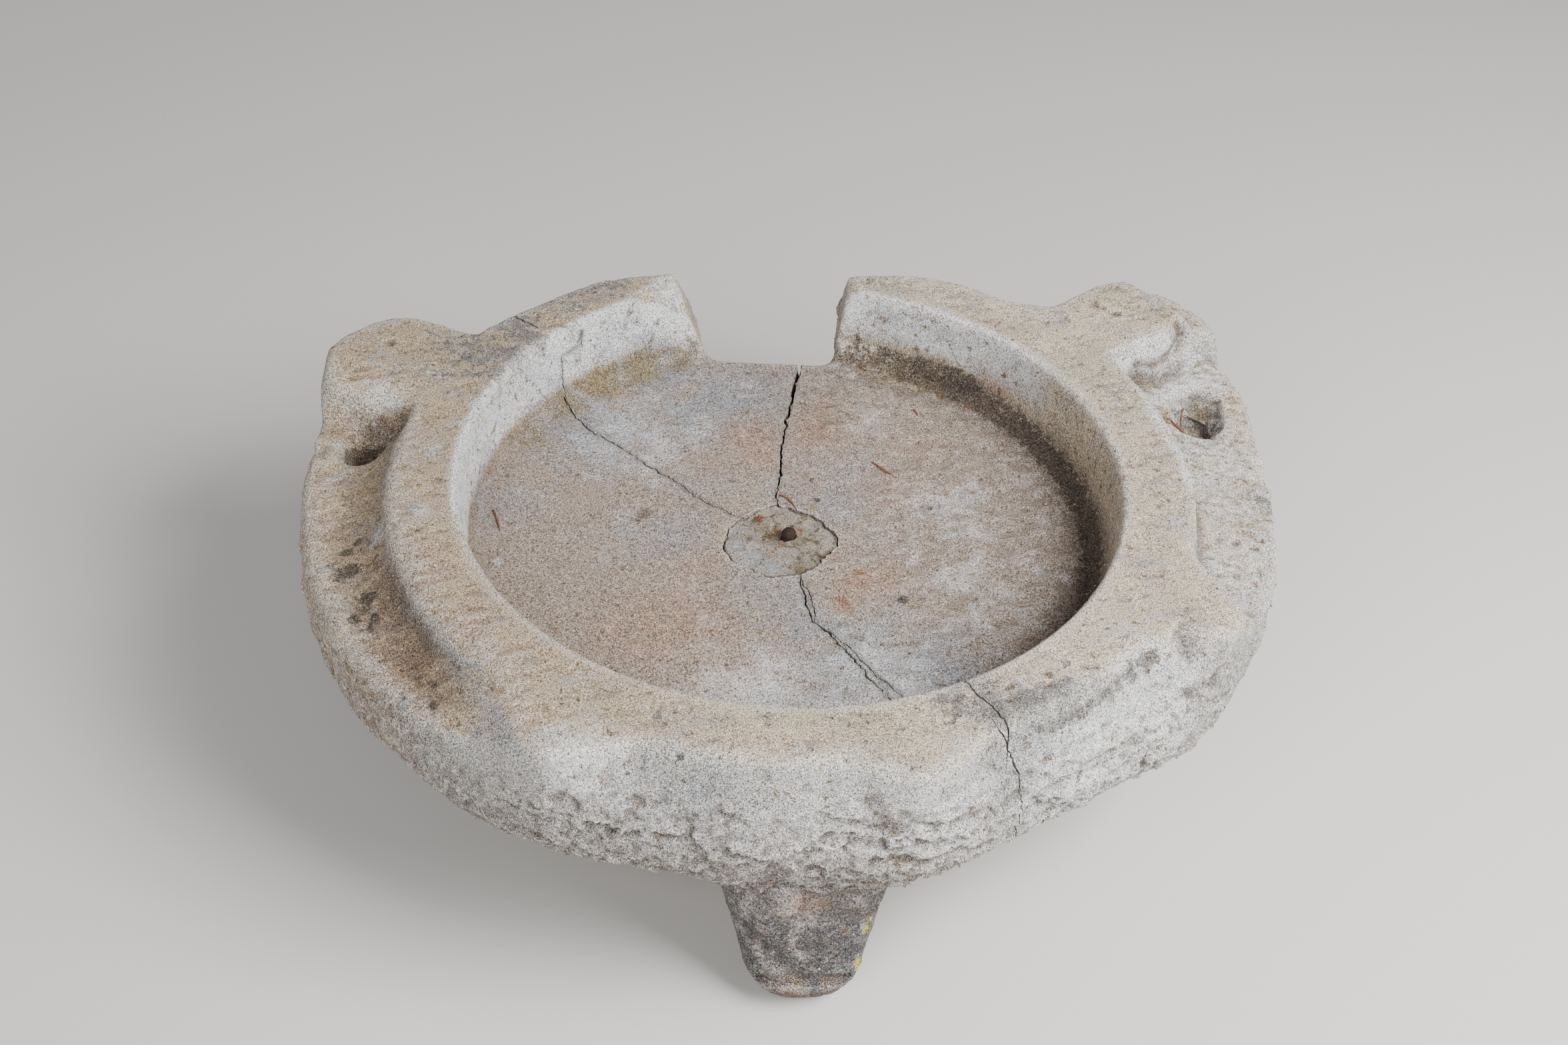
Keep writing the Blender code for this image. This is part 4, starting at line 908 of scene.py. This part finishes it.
def mark_surface(mesh):
    """Masks for the colours: stains, zones (some of them painted shade), sharp places (painted highlight), hollow
    places and cracks (painted shade).
    """
    points = points_of(mesh)
    edges = edges_of(mesh)
    facing = normals_of(mesh)
    radius, degrees = polar(points)
    height = points[:, 2]
    over = height - FLOOR
    for kind, spots in STAINS.items():
        total = np.zeros(len(points))
        for x, y, z, reach, strength in spots:
            total = np.maximum(total, strength * near(points, place(x, y, z), reach * MM * 1.4))
        for name, line, reach, strength in STAIN_LINES:
            if name == kind:
                path = [place(*spot) for spot in line]
                total = np.maximum(total, strength * near_line(points, path, reach * MM * 1.5, flat=False))
        set_mask(mesh, kind, total)
    inside = radius < 0.232
    floor = inside * (1.0 - ramp(over, 0.002, 0.012)) * (over > -0.02)
    set_mask(mesh, "floor", floor)
    x = points[:, 0] - AXIS_X
    side = (1.0 - ramp(np.abs(facing[:, 2]), 0.66, 0.90)) * ramp(radius, 0.258, 0.274)
    side *= (0.35 + 0.65 * ramp(x, -0.30, -0.16)) * (1.0 - ramp(height, RIM_TOP - 0.005, RIM_TOP - 0.001))
    # Painted shade under the belly's overhang, less towards the right where the light reaches; the feet darker grey
    # towards their soles, partly their own grey and partly painted shade
    under = (1.0 - ramp(height, UNDERSIDE + 0.010, UNDERSIDE + 0.084)) * (1.0 - 0.6 * ramp(x, 0.06, 0.16))
    set_mask(mesh, "side", side)
    set_mask(mesh, "under", under)
    set_mask(mesh, "low", 1.0 - ramp(height, 0.052, 0.148))
    # The worn pale wall from the left jamb to the left, and painted light on the upper wall at the back right, which
    # stands in shade
    turn, flare = np.array(FLARE).T
    lip = 0.2335 + np.interp(degrees, turn, flare * MM, period=360.0)
    wall = ramp(radius, 0.2215, 0.2250) * (1.0 - ramp(radius, lip - 0.002, lip + 0.003)) * ramp(over, 0.008, 0.020)
    worn = np.clip(band(degrees, 96.0, 180.0, 8.0) + band(degrees, -180.0, -168.0, 14.0), 0.0, 1.0)
    set_mask(mesh, "worn_wall", wall * np.maximum(worn * (0.72 + 0.28 * ramp(over, 0.012, 0.030)), band(degrees, 44.0, 84.0, 14.0) * ramp(over, 0.012, 0.028)))
    set_mask(mesh, "warm", 0.58 - 0.42 * np.tanh((x + 0.06) / 0.16))
    # Dirt and painted shadow in the corner of wall and floor at the right, where the right wall's shadow falls
    turn, tall = np.array(ROUGH_FOOT).T
    foot_top = np.interp(degrees, turn, tall * MM, left=0.0, right=0.0)
    right = band(degrees, -45.0, 76.0, 10.0)
    corner = band(radius, 0.216, 0.240, 0.014) * (1.0 - ramp(over, foot_top + 0.001, foot_top + 0.009)) * (over > -0.004)
    soiled = right * corner * (0.55 + 0.45 * band(degrees, -20.0, 62.0, 12.0))
    set_mask(mesh, "soiled", soiled)
    # Painted shadow: the right wall's shadow over the floor, and the floor painted darker towards the right
    dusky = np.maximum(band(radius, 0.206, 0.240, 0.032), 0.50 * ramp(x, 0.02, 0.14))
    set_mask(mesh, "dusky", dusky * band(degrees, -44.0, 76.0, 22.0) * floor)
    # The foot of the right wall: dirt with painted shade
    right *= 1.0 - 0.6 * band(degrees, 40.0, 80.0, 14.0)
    set_mask(mesh, "soiled_wall", right * band(radius, 0.222, 0.242, 0.004) * (1.0 - ramp(over, 0.014, 0.044)) * (over > 0.002))
    # From the local curvature: a painted highlight with pale wear on the sharp arrises, and dirt with painted shade in
    # the hollows
    smooth = soften(points, edges, np.full(len(points), 0.7), 5)
    raised = np.einsum("ij,ij->i", points - smooth, facing) / 0.0009
    raised *= (1.0 - 0.45 * floor) * (0.35 + 0.65 * ramp(height, UNDERSIDE - 0.010, UNDERSIDE + 0.010))
    set_mask(mesh, "sharp", raised * (1.0 - soiled))
    set_mask(mesh, "hollow", -raised)
    # Painted shade along the cracks, darkest on their line
    crack = np.zeros(len(points))
    for line in FLOOR_CRACKS.values():
        path = [place(x, y, -57) for x, y, _ in line]
        crack = np.maximum(crack, near_line(points, path, 0.004) * (over < 0.01) * (over > -0.03))
    for line in (LEFT_RIM_CRACK, LEFT_SLOPE_CRACK, RIGHT_RIM_CRACK, RIGHT_SIDE_CRACK):
        path = [place(x, y, z) for x, y, z, _ in line]
        crack = np.maximum(crack, near_line(points, path, 0.004, flat=False))
    set_mask(mesh, "crack", crack)


# Patterns in the stone: stretched along the tool's way or not, size in mm, detail, roughness,
# distortion. The grain is half a millimetre in the real stone; it is drawn up to 1.6 mm, so that it
# shows at the picture's size.
STONE_PATTERNS = {
    "beds": (False, 70.0, 3.0, 0.55, 0.6),
    "clouds": (False, 24.0, 5.0, 0.66, 0.3),
    "mottle": (False, 6.5, 4.0, 0.70, 0.0),
    "streaks": (True, 2.0, 2.5, 0.65, 0.0),
    "speckle": (False, 1.6, 3.0, 0.75, 0.0),
    "grain": (False, 0.8, 2.0, 0.75, 0.0),
}

# Colours laid over one another: mask (or an even share), pattern that breaks its edge, how much,
# softness of the edge, strength, colour
STONE_LAYERS = (
    ("warm", "beds", 1.2, 0.9, 1.00, "#D3B897"),
    (0.42, "clouds", 2.5, 0.7, 0.45, "#BFB3A4"),
    (0.34, "streaks", 3.0, 0.8, 0.45, "#98866F"),
    ("side", "clouds", 0.8, 0.6, 0.94, "#C2C0BE"),
    # Painted shade under the belly
    ("under", "clouds", 1.0, 0.8, 0.92, "#887F78"),
    # Feet darker grey towards their soles: their own grey with painted shade
    ("low", "clouds", 1.2, 0.7, 0.88, "#575758"),
    # Pale worn wall at the left, and painted light on the shaded upper wall at the back right
    ("worn_wall", "clouds", 1.6, 0.7, 1.00, "#FDFDFE"),
    ("floor", "beds", 1.5, 0.7, 0.95, "#B5A394"),
    # Painted shadow of the right wall on the floor
    ("dusky", "mottle", 2.0, 0.9, 0.66, "#7C6C60"),
    ("blue", "clouds", 2.5, 0.9, 0.85, "#A0A5AC"),
    ("peach", "clouds", 2.5, 0.8, 0.62, "#BC8B68"),
    ("pale", "clouds", 1.6, 0.8, 0.95, "#FBFAFA"),
    ("algae", "mottle", 2.0, 0.6, 0.70, "#93803F"),
    ("grey", "mottle", 3.0, 0.4, 0.92, "#7C7B79"),
    # Dirt with painted shade at the foot of the right wall
    ("soiled_wall", "mottle", 2.5, 0.8, 0.42, "#A08B78"),
    # Dirt and painted shadow in the right corner of wall and floor
    ("soiled", "mottle", 2.8, 0.4, 0.92, "#574C43"),
    ("rust", "mottle", 2.5, 0.5, 0.80, "#94592F"),
    ("dirt", "mottle", 2.0, 0.8, 0.70, "#6B5846"),
    ("dark", "mottle", 0.8, 0.20, 0.88, "#49433D"),
    ("lichen", "mottle", 2.0, 0.3, 0.95, "#C9C736"),
    # Dirt with painted shade in the hollows
    ("hollow", "speckle", 1.2, 0.8, 0.58, "#75665A"),
    # Painted highlight on the sharp arrises, with their pale wear
    ("sharp", "speckle", 1.2, 0.9, 0.36, "#F8F4EC"),
    # Painted shade along the cracks
    ("crack", "speckle", 2.0, 0.5, 0.42, "#4A3F36"),
)

# Single grains: spacing in mm, size as a share of it, share of cells left out, strength, colour
STONE_GRAINS = (
    (2.4, 0.22, 0.48, 0.62, "#5C4E42"),
    (11.0, 0.13, 0.60, 0.80, "#554639"),
    (7.0, 0.13, 0.60, 0.60, "#F6F3EE"),
    (24.0, 0.09, 0.75, 0.70, "#A56C45"),
    (36.0, 0.07, 0.70, 0.70, "#62666C"),
)

# Finest patterns: how much lighter and darker the colour gets, and its share of the bump
STONE_TONES = (("mottle", 0.12, 1.0), ("speckle", 0.58, 1.2), ("grain", 0.82, 0.6))


def layered_material(name, patterns, base, layers, grains, tones, bump_depth, roughness, metallic=0.0):
    """Material of a base colour, stains over one another, single grains, fine tones and a bump."""
    material = bpy.data.materials.new(name)
    material.use_nodes = True
    tree = material.node_tree
    tree.nodes.clear()
    here = add_node(tree, "ShaderNodeTexCoord", output="Object")
    along = add_node(tree, "ShaderNodeVectorRotate", {
        "Vector": here, "Axis": (0.0, 0.0, 1.0), "Angle": math.radians(-22.0)}, rotation_type="AXIS_ANGLE")
    along = add_node(tree, "ShaderNodeVectorMath", {0: along, 1: (0.35, 1.0, 1.0)}, operation="MULTIPLY")
    noises = {
        pattern: add_node(tree, "ShaderNodeTexNoise", {
            "Vector": along if drawn else here, "Scale": 1000.0 / size, "Detail": detail, "Roughness": rough,
            "Distortion": distortion})
        for pattern, (drawn, size, detail, rough, distortion) in patterns.items()
    }
    colour = (*hex_colour(base), 1.0)
    for mask, pattern, uneven, soft, strength, code in layers:
        if isinstance(mask, str):
            mask = add_node(tree, "ShaderNodeAttribute", output="Fac", attribute_name=mask)
        offset = add_node(tree, "ShaderNodeMath", {0: mask, 1: 0.5 * uneven}, operation="SUBTRACT")
        value = add_node(tree, "ShaderNodeMath", {0: noises[pattern], 1: uneven, 2: offset}, operation="MULTIPLY_ADD")
        amount = add_node(tree, "ShaderNodeMapRange", {
            "Value": value, "From Min": 0.5 - soft / 2.0, "From Max": 0.5 + soft / 2.0, "To Max": strength})
        colour = add_node(tree, "ShaderNodeMix", {0: amount, 6: colour, 7: (*hex_colour(code), 1.0)},
                          output=2, data_type="RGBA")
    for spacing, size, left_out, strength, code in grains:
        away = add_node(tree, "ShaderNodeTexVoronoi", {"Vector": here, "Scale": 1000.0 / spacing})
        chance = add_node(tree, "ShaderNodeSeparateColor", {0: away.node.outputs["Color"]})
        chosen = add_node(tree, "ShaderNodeMapRange", {
            "Value": chance, "From Min": left_out, "From Max": left_out + 0.08, "To Max": strength})
        shape = add_node(tree, "ShaderNodeMath", {0: noises["grain"], 1: 0.25, 2: away}, operation="MULTIPLY_ADD")
        spot = add_node(tree, "ShaderNodeMapRange", {"Value": shape, "From Min": size + 0.17, "From Max": size + 0.06})
        amount = add_node(tree, "ShaderNodeMath", {0: chosen, 1: spot}, operation="MULTIPLY")
        colour = add_node(tree, "ShaderNodeMix", {0: amount, 6: colour, 7: (*hex_colour(code), 1.0)},
                          output=2, data_type="RGBA")
    height = 0.0
    for pattern, spread, lift in tones:
        tone = add_node(tree, "ShaderNodeMapRange", {
            "Value": noises[pattern], "From Min": 0.32, "From Max": 0.68, "To Min": 1.0 - spread, "To Max": 1.0 + spread})
        colour = add_node(tree, "ShaderNodeMix", {0: 1.0, 6: colour, 7: tone}, output=2, data_type="RGBA", blend_type="MULTIPLY")
        height = add_node(tree, "ShaderNodeMath", {0: noises[pattern], 1: lift, 2: height}, operation="MULTIPLY_ADD")
    bump = add_node(tree, "ShaderNodeBump", {"Strength": 1.0, "Distance": bump_depth * MM, "Height": height})
    shader = add_node(tree, "ShaderNodeBsdfPrincipled", {
        "Base Color": colour, "Roughness": roughness, "Metallic": metallic, "Normal": bump, "Specular IOR Level": 0.3})
    add_node(tree, "ShaderNodeOutputMaterial", {"Surface": shader})
    return material


def stone_material():
    """Pale sandstone, pecked and worn, with the stains of a long time outdoors. Dull all over."""
    return layered_material(
        "pecked_sandstone", STONE_PATTERNS, "#FAE9CF", STONE_LAYERS, STONE_GRAINS, STONE_TONES, 2.0, 0.93)


def mortar_material():
    """Old lime mortar: grey and tan, lumpy, with rust bled into it from the spindle."""
    return layered_material(
        "weathered_mortar", STONE_PATTERNS, "#CFC3B5", (
            (0.45, "clouds", 3.0, 0.5, 0.70, "#9B8F80"),
            ("chalky", "mottle", 3.5, 0.7, 0.75, "#C4C8CB"),
            ("tan", "mottle", 3.0, 0.8, 0.62, "#9A8165"),
            ("olive", "mottle", 3.0, 0.6, 0.60, "#736641"),
            ("stain", "mottle", 3.0, 0.5, 0.85, "#76502F"),
            ("edge_dirt", "mottle", 3.5, 0.6, 0.75, "#6A5946"),
            ("joint_dirt", "mottle", 3.5, 0.6, 0.75, "#6A5946"),
            ("orange", "speckle", 1.5, 0.4, 0.90, "#B0582C"),
            ("black", "speckle", 1.5, 0.4, 0.90, "#2E241D"),
            ("white", "grain", 0.6, 0.5, 0.95, "#F2EFEA"),
        ), ((5.0, 0.20, 0.55, 0.60, "#5E5246"), (9.0, 0.12, 0.60, 0.60, "#E9E4DB"), (11.0, 0.13, 0.6, 0.6, "#A8714C")),
        (("mottle", 0.14, 1.2), ("speckle", 0.42, 1.4), ("grain", 0.50, 0.7)), 2.8, 0.94)


def iron_material():
    """Wrought iron, long rusted: dark brown-black crust, orange in its pits, with a dull sheen."""
    return layered_material(
        "rusted_wrought_iron", STONE_PATTERNS, "#41312C", (
            (0.34, "speckle", 3.5, 0.5, 0.60, "#5F4032"),
            (0.36, "grain", 3.5, 0.4, 0.70, "#241D1E"),
        ), (), (("speckle", 0.25, 1.0), ("grain", 0.25, 0.5)), 0.9, 0.55, 0.35)


def needle_material():
    """Dried pine needle: red-brown, faintly glossy skin."""
    return layered_material(
        "dried_pine_needle", STONE_PATTERNS, "#8E5A44", ((0.45, "mottle", 3.0, 0.6, 0.8, "#5A382B"),),
        (), (("speckle", 0.2, 1.0),), 0.1, 0.55)


# Fallen needles: both ends of each and its bend, in mm from the spindle's axis
NEEDLES = (
    ((-213, 12), (-208, 0), (-205, -11)),
    ((-8, 43), (0, 37), (6, 24)),
    ((60, 86), (69, 78), (78, 70)),
    ((297, 150), (292, 130), (289, 108)),
    ((282, 117), (290, 109), (298, 104)),
    ((272, 112), (279, 114), (287, 113)),
    ((92, 154), (94, 151), (95, 147)),
)


class MillstoneStone(bpy.types.PropertyGroup):
    grid: FloatProperty(name="Grid", description="Spacing of the carved mesh", default=0.0021, min=0.001, unit="LENGTH")
    triangles: IntProperty(name="Triangles", description="Most triangles the stone may have", default=184000)
    wear_rounds: IntProperty(name="Wear", description="How far the arrises are rounded", default=3, min=0)
    spall_size: FloatProperty(name="Spall Size", description="Size of the broken faces on the side", default=0.020, unit="LENGTH")
    spall_slope: FloatProperty(name="Spall Slope", description="How far the broken faces lean out", default=0.22)
    lump_size: FloatProperty(name="Lump Size", description="Size of the broad swellings", default=0.034, unit="LENGTH")
    lump_depth: FloatProperty(name="Lump Depth", description="Depth of the broad swellings", default=0.0036, unit="LENGTH")
    ledge_spacing: FloatProperty(name="Ledge Spacing", description="Spacing of the bedding ledges", default=0.0125, unit="LENGTH")
    ledge_depth: FloatProperty(name="Ledge Depth", description="Depth of the bedding ledges", default=0.0034, unit="LENGTH")
    peck_size: FloatProperty(name="Peck Size", description="Spacing of the peck marks", default=0.0085, unit="LENGTH")
    peck_depth: FloatProperty(name="Peck Depth", description="Depth of the peck marks", default=0.0014, unit="LENGTH")
    stroke_length: FloatProperty(name="Stroke Length", description="Length of the tool strokes", default=0.024, unit="LENGTH")
    stroke_width: FloatProperty(name="Stroke Width", description="Width of the tool strokes", default=0.0062, unit="LENGTH")
    stroke_depth: FloatProperty(name="Stroke Depth", description="Depth of the tool strokes", default=0.0011, unit="LENGTH")
    dimple_length: FloatProperty(name="Dimple Length", description="Length of the floor's dimples", default=0.016, unit="LENGTH")
    dimple_width: FloatProperty(name="Dimple Width", description="Width of the floor's dimples", default=0.009, unit="LENGTH")
    dimple_depth: FloatProperty(name="Dimple Depth", description="Depth of the floor's dimples", default=0.0014, unit="LENGTH")


class MillstoneStage(bpy.types.PropertyGroup):
    floor_colour: FloatVectorProperty(
        name="Floor Colour", description="Colour of the floor", subtype="COLOR", default=hex_colour("#DAD7D2"))
    key_power: FloatProperty(name="Key Light", description="Power of the main light in watts", default=87.5)
    fill_power: FloatProperty(name="Fill Light", description="Power of the filling light in watts", default=44.0)


class MILLSTONE_OT_bed_stone(bpy.types.Operator):
    """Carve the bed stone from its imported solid"""

    bl_idname = "millstone.bed_stone"
    bl_label = "Bed Stone"

    def execute(self, context):
        sizes = context.scene.millstone_stone
        stone = new_piece("carved_bed_stone", merged_copy("bed_stone"))
        heal_floor(stone)
        remesh(stone, sizes.grid)
        mesh = stone.data
        set_points(mesh, sculpt(points_of(mesh), edges_of(mesh), sizes))
        mark_relief(mesh)
        material = stone_material()
        tool_surface(stone, {
            "Spall Size": sizes.spall_size, "Spall Slope": sizes.spall_slope,
            "Lump Size": sizes.lump_size, "Lump Depth": sizes.lump_depth,
            "Ledge Spacing": sizes.ledge_spacing, "Ledge Depth": sizes.ledge_depth,
            "Peck Size": sizes.peck_size, "Peck Depth": sizes.peck_depth,
            "Stroke Length": sizes.stroke_length, "Stroke Width": sizes.stroke_width,
            "Stroke Depth": sizes.stroke_depth, "Dimple Length": sizes.dimple_length,
            "Dimple Width": sizes.dimple_width, "Dimple Depth": sizes.dimple_depth, "Seed": 4.0}, material)
        thin_out(stone, sizes.triangles)
        finish_modifiers(stone)
        points = points_of(stone.data)
        set_points(stone.data, np.clip(points, np.array(STONE_LOW), np.array(STONE_HIGH)))
        cut_cracks(stone)
        mark_surface(stone.data)
        stone.data.materials.clear()
        stone.data.materials.append(material)
        stone.data.shade_smooth()
        stone.data.set_sharp_from_angle(angle=math.radians(62.0))
        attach(stone, "root")
        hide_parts("bed_stone")
        return {"FINISHED"}


class MILLSTONE_OT_filling(bpy.types.Operator):
    """Shape the mortar filling round the spindle"""

    bl_idname = "millstone.filling"
    bl_label = "Mortar Filling"

    def execute(self, context):
        turns = np.arange(0.0, 360.0, 2.0)
        rings = []
        for z, inset in ((FILLING_HIGH.z, 0.0005), (FILLING_HIGH.z - 0.0014, 0.0001), (FILLING_LOW.z, 0.003)):
            centre, reach = filling_reach(turns, 0.0)
            x = centre.x + (reach - inset) * np.cos(np.radians(turns))
            y = centre.y + (reach - inset) * np.sin(np.radians(turns))
            rings.append([Vector((a, b, z)) for a, b in zip(x, y)])
        filling = new_piece("mortar_filling", ring_loft("mortar_filling", rings))
        hole = bmesh.new()
        bmesh.ops.create_cone(hole, cap_ends=True, segments=40, radius1=0.0058, radius2=0.0058, depth=0.05,
                              matrix=Matrix.Translation((AXIS_X, AXIS_Y, FLOOR)))
        hole_mesh = bpy.data.meshes.new("stump_hole")
        hole.to_mesh(hole_mesh)
        hole.free()
        remesh(filling, 0.0008)
        mesh = filling.data
        points = soften(points_of(mesh), edges_of(mesh), np.full(len(mesh.vertices), 0.6), 2)
        top = ramp(points[:, 2], FILLING_HIGH.z - 0.003, FILLING_HIGH.z - 0.001)
        relief = 0.0006 * lumps(points, 0.009, 1.0) + 0.0004 * lumps(points, 0.0032, 2.0)
        points[:, 2] += top * (relief - 0.0003)
        for x, y, reach, depth in ((-10, 0, 11, 3.8), (0, 0, 13, 1.4), (-6, -13, 5, -1.0), (11, 2, 5, -0.7),
                                   (27, -23, 7, 2.0), (10, -42, 6, 1.4), (16, 8, 10, 0.8), (-24, -6, 12, 0.7),
                                   (-22, 11, 7, -0.6), (30, -12, 6, 1.2)):
            spot = Vector((AXIS_X + x * MM, AXIS_Y + y * MM, FILLING_HIGH.z))
            points[:, 2] -= top * depth * MM * near(points, spot, reach * MM * 1.3)
        set_points(mesh, points)
        cutter = new_piece("stump_hole", hole_mesh)
        modifier = filling.modifiers.new("hole", "BOOLEAN")
        modifier.operation = "DIFFERENCE"
        modifier.solver = "MANIFOLD"
        modifier.object = cutter
        finish_modifiers(filling)
        bpy.data.objects.remove(cutter)
        mesh = filling.data
        points = points_of(mesh)
        for kind, spots in FILLING_STAINS.items():
            total = np.zeros(len(points))
            for x, y, reach, strength in spots:
                total = np.maximum(total, strength * near(points, (AXIS_X + x * MM, AXIS_Y + y * MM, FLOOR), reach * MM * 1.4))
            set_mask(mesh, kind, total)
        turns = np.degrees(np.arctan2(points[:, 1] - centre.y, points[:, 0] - centre.x))
        edge = filling_reach(turns, 0.0)[1] - np.hypot(points[:, 0] - centre.x, points[:, 1] - centre.y)
        set_mask(mesh, "joint_dirt", 0.8 * (1.0 - ramp(edge, 0.0004, 0.0050)) * band(turns, -100.0, 84.0, 10.0))
        mesh.materials.clear()
        mesh.materials.append(mortar_material())
        mesh.shade_smooth()
        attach(filling, "root")
        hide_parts("spindle_filling")
        return {"FINISHED"}


class MILLSTONE_OT_stump(bpy.types.Operator):
    """Model the broken stump of the iron spindle"""

    bl_idname = "millstone.stump"
    bl_label = "Spindle Stump"

    def execute(self, context):
        radius = (STUMP_HIGH.x - STUMP_LOW.x) / 2.0
        sides = 40
        profile = [(0.0, 0.22), (0.0004, 0.55), (0.0012, 0.82), (0.0024, 0.96), (0.0042, 1.0)]
        profile += [(0.006 + 0.004 * step, 1.0 - 0.01 * step) for step in range(7)]
        rings = []
        for drop, share in profile:
            ring = []
            for index in range(sides):
                angle = math.tau * index / sides
                way = Vector((math.cos(angle), math.sin(angle), 0.0))
                point = Vector((AXIS_X, AXIS_Y, STUMP_HIGH.z - drop)) + way * radius * share * 0.97
                point += way * 0.0002 * noise.noise(point / 0.0018)
                if drop < 0.003:
                    point.z -= 0.0006 * (0.5 + noise.noise(point / 0.003)) + 0.0012 * max(0.0, -way.x) * share
                ring.append(point)
            rings.append(ring)
        stump = new_piece("rusted_stump", ring_loft("rusted_stump", rings))
        stump.data.materials.append(iron_material())
        stump.data.shade_smooth()
        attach(stump, "root")
        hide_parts("spindle_stump")
        return {"FINISHED"}


class MILLSTONE_OT_needles(bpy.types.Operator):
    """Lay the fallen needles in the bowl and the right socket"""

    bl_idname = "millstone.needles"
    bl_label = "Fallen Needles"

    def execute(self, context):
        surfaces = [
            BVHTree.FromObject(bpy.data.objects[name], context.evaluated_depsgraph_get())
            for name in ("carved_bed_stone", "mortar_filling")
        ]
        thickness = 0.00075
        body = bmesh.new()
        for spots in NEEDLES:
            bends = []
            for spot in spots:
                above = place(*spot, 20)
                hits = [surface.ray_cast(above, (0.0, 0.0, -1.0))[0] for surface in surfaces]
                bends.append(Vector((above.x, above.y, max(hit.z for hit in hits if hit) + thickness)))
            bends[1].z = max(bends[1].z, (bends[0].z + bends[2].z) / 2.0)
            # Through the middle bend on a smooth curve
            middle = bends[1] * 2.0 - (bends[0] + bends[2]) / 2.0
            rings = []
            for step in range(11):
                share = step / 10.0
                point = bends[0].lerp(middle, share).lerp(middle.lerp(bends[2], share), share)
                along = (middle.lerp(bends[2], share) - bends[0].lerp(middle, share)).normalized()
                aside = along.cross(Vector((0.0, 0.0, 1.0))).normalized()
                above = aside.cross(along)
                half = thickness * (0.45 + 0.55 * math.sin(math.pi * min(0.15 + share, 1.0)) ** 0.5)
                rings.append([
                    point + (aside * math.cos(turn) + above * math.sin(turn)) * half
                    for turn in (math.tau * side / 6.0 for side in range(6))
                ])
            body.from_mesh(ring_loft("needle", rings))
        mesh = bpy.data.meshes.new("pine_needles")
        body.to_mesh(mesh)
        body.free()
        needles = new_piece("pine_needles", mesh)
        mesh.materials.append(needle_material())
        mesh.shade_smooth()
        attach(needles, "root")
        return {"FINISHED"}


class MILLSTONE_OT_stage(bpy.types.Operator):
    """Set the floor, the lights and the camera"""

    bl_idname = "millstone.stage"
    bl_label = "Stage"

    def execute(self, context):
        stage = context.scene.millstone_stage
        body = bmesh.new()
        bmesh.ops.create_grid(body, x_segments=1, y_segments=1, size=6.0)
        mesh = bpy.data.meshes.new("floor")
        body.to_mesh(mesh)
        body.free()
        floor = new_piece("studio_floor", mesh)
        paper = bpy.data.materials.new("studio_paper")
        paper.use_nodes = True
        shader = paper.node_tree.nodes["Principled BSDF"]
        shader.inputs["Base Color"].default_value = (*stage.floor_colour, 1.0)
        shader.inputs["Roughness"].default_value = 0.9
        mesh.materials.append(paper)
        world = bpy.data.worlds.new("studio")
        world.use_nodes = True
        world.node_tree.nodes["Background"].inputs["Color"].default_value = (0.92, 0.95, 1.0, 1.0)
        world.node_tree.nodes["Background"].inputs["Strength"].default_value = 0.30
        context.scene.world = world
        for name, spot, size, power in (
            ("key", (1.34, -0.74, 1.58), 1.2, stage.key_power),
            ("fill", (-0.8, -2.2, 1.5), 1.8, stage.fill_power),
        ):
            light = bpy.data.lights.new(name, "AREA")
            light.shape = "SQUARE"
            light.size = size
            light.energy = power
            lamp = new_piece(name, light)
            aim = Vector((AXIS_X, AXIS_Y, 0.15)) - Vector(spot)
            lamp.matrix_world = Matrix.Translation(spot) @ aim.to_track_quat("-Z", "Y").to_matrix().to_4x4()
        pitch = 0.69112
        yaw = -0.00303
        roll = 0.03988
        forward = Vector((math.sin(yaw) * math.cos(pitch), math.cos(yaw) * math.cos(pitch), -math.sin(pitch)))
        level = Vector((math.cos(yaw), -math.sin(yaw), 0.0))
        upright = level.cross(forward)
        across = level * math.cos(roll) + upright * math.sin(roll)
        above = upright * math.cos(roll) - level * math.sin(roll)
        camera_data = bpy.data.cameras.new("camera")
        camera_data.lens = 50.0
        camera_data.sensor_width = 36.0
        camera = new_piece("camera", camera_data)
        turn = Matrix((across, above, -forward)).transposed().to_4x4()
        spot = (AXIS_X, AXIS_Y - 5.1903 * BOWL_RADIUS, RIM_TOP + 4.0902 * BOWL_RADIUS)
        camera.matrix_world = Matrix.Translation(spot) @ turn
        context.scene.camera = camera
        return {"FINISHED"}


class MILLSTONE_PT_panel(bpy.types.Panel):
    """Lists the millstone's pieces"""

    bl_idname = "MILLSTONE_PT_panel"
    bl_label = "Millstone"
    bl_space_type = "VIEW_3D"
    bl_region_type = "UI"
    bl_category = "Millstone"

    def draw(self, context):
        for operator in OPERATORS:
            self.layout.operator(operator.bl_idname)
        for settings in (context.scene.millstone_stone, context.scene.millstone_stage):
            for name in settings.__annotations__:
                self.layout.prop(settings, name)


OPERATORS = (
    MILLSTONE_OT_bed_stone, MILLSTONE_OT_filling, MILLSTONE_OT_stump, MILLSTONE_OT_needles, MILLSTONE_OT_stage,
)
CLASSES = (MillstoneStone, MillstoneStage, *OPERATORS, MILLSTONE_PT_panel)


def register():
    for item in CLASSES:
        bpy.utils.register_class(item)
    bpy.types.Scene.millstone_stone = PointerProperty(type=MillstoneStone)
    bpy.types.Scene.millstone_stage = PointerProperty(type=MillstoneStage)


def unregister():
    del bpy.types.Scene.millstone_stone
    del bpy.types.Scene.millstone_stage
    for item in reversed(CLASSES):
        bpy.utils.unregister_class(item)


def main():
    register()
    bpy.ops.millstone.bed_stone()
    bpy.ops.millstone.filling()
    bpy.ops.millstone.stump()
    bpy.ops.millstone.needles()
    bpy.ops.millstone.stage()


if __name__ == "__main__":
    main()
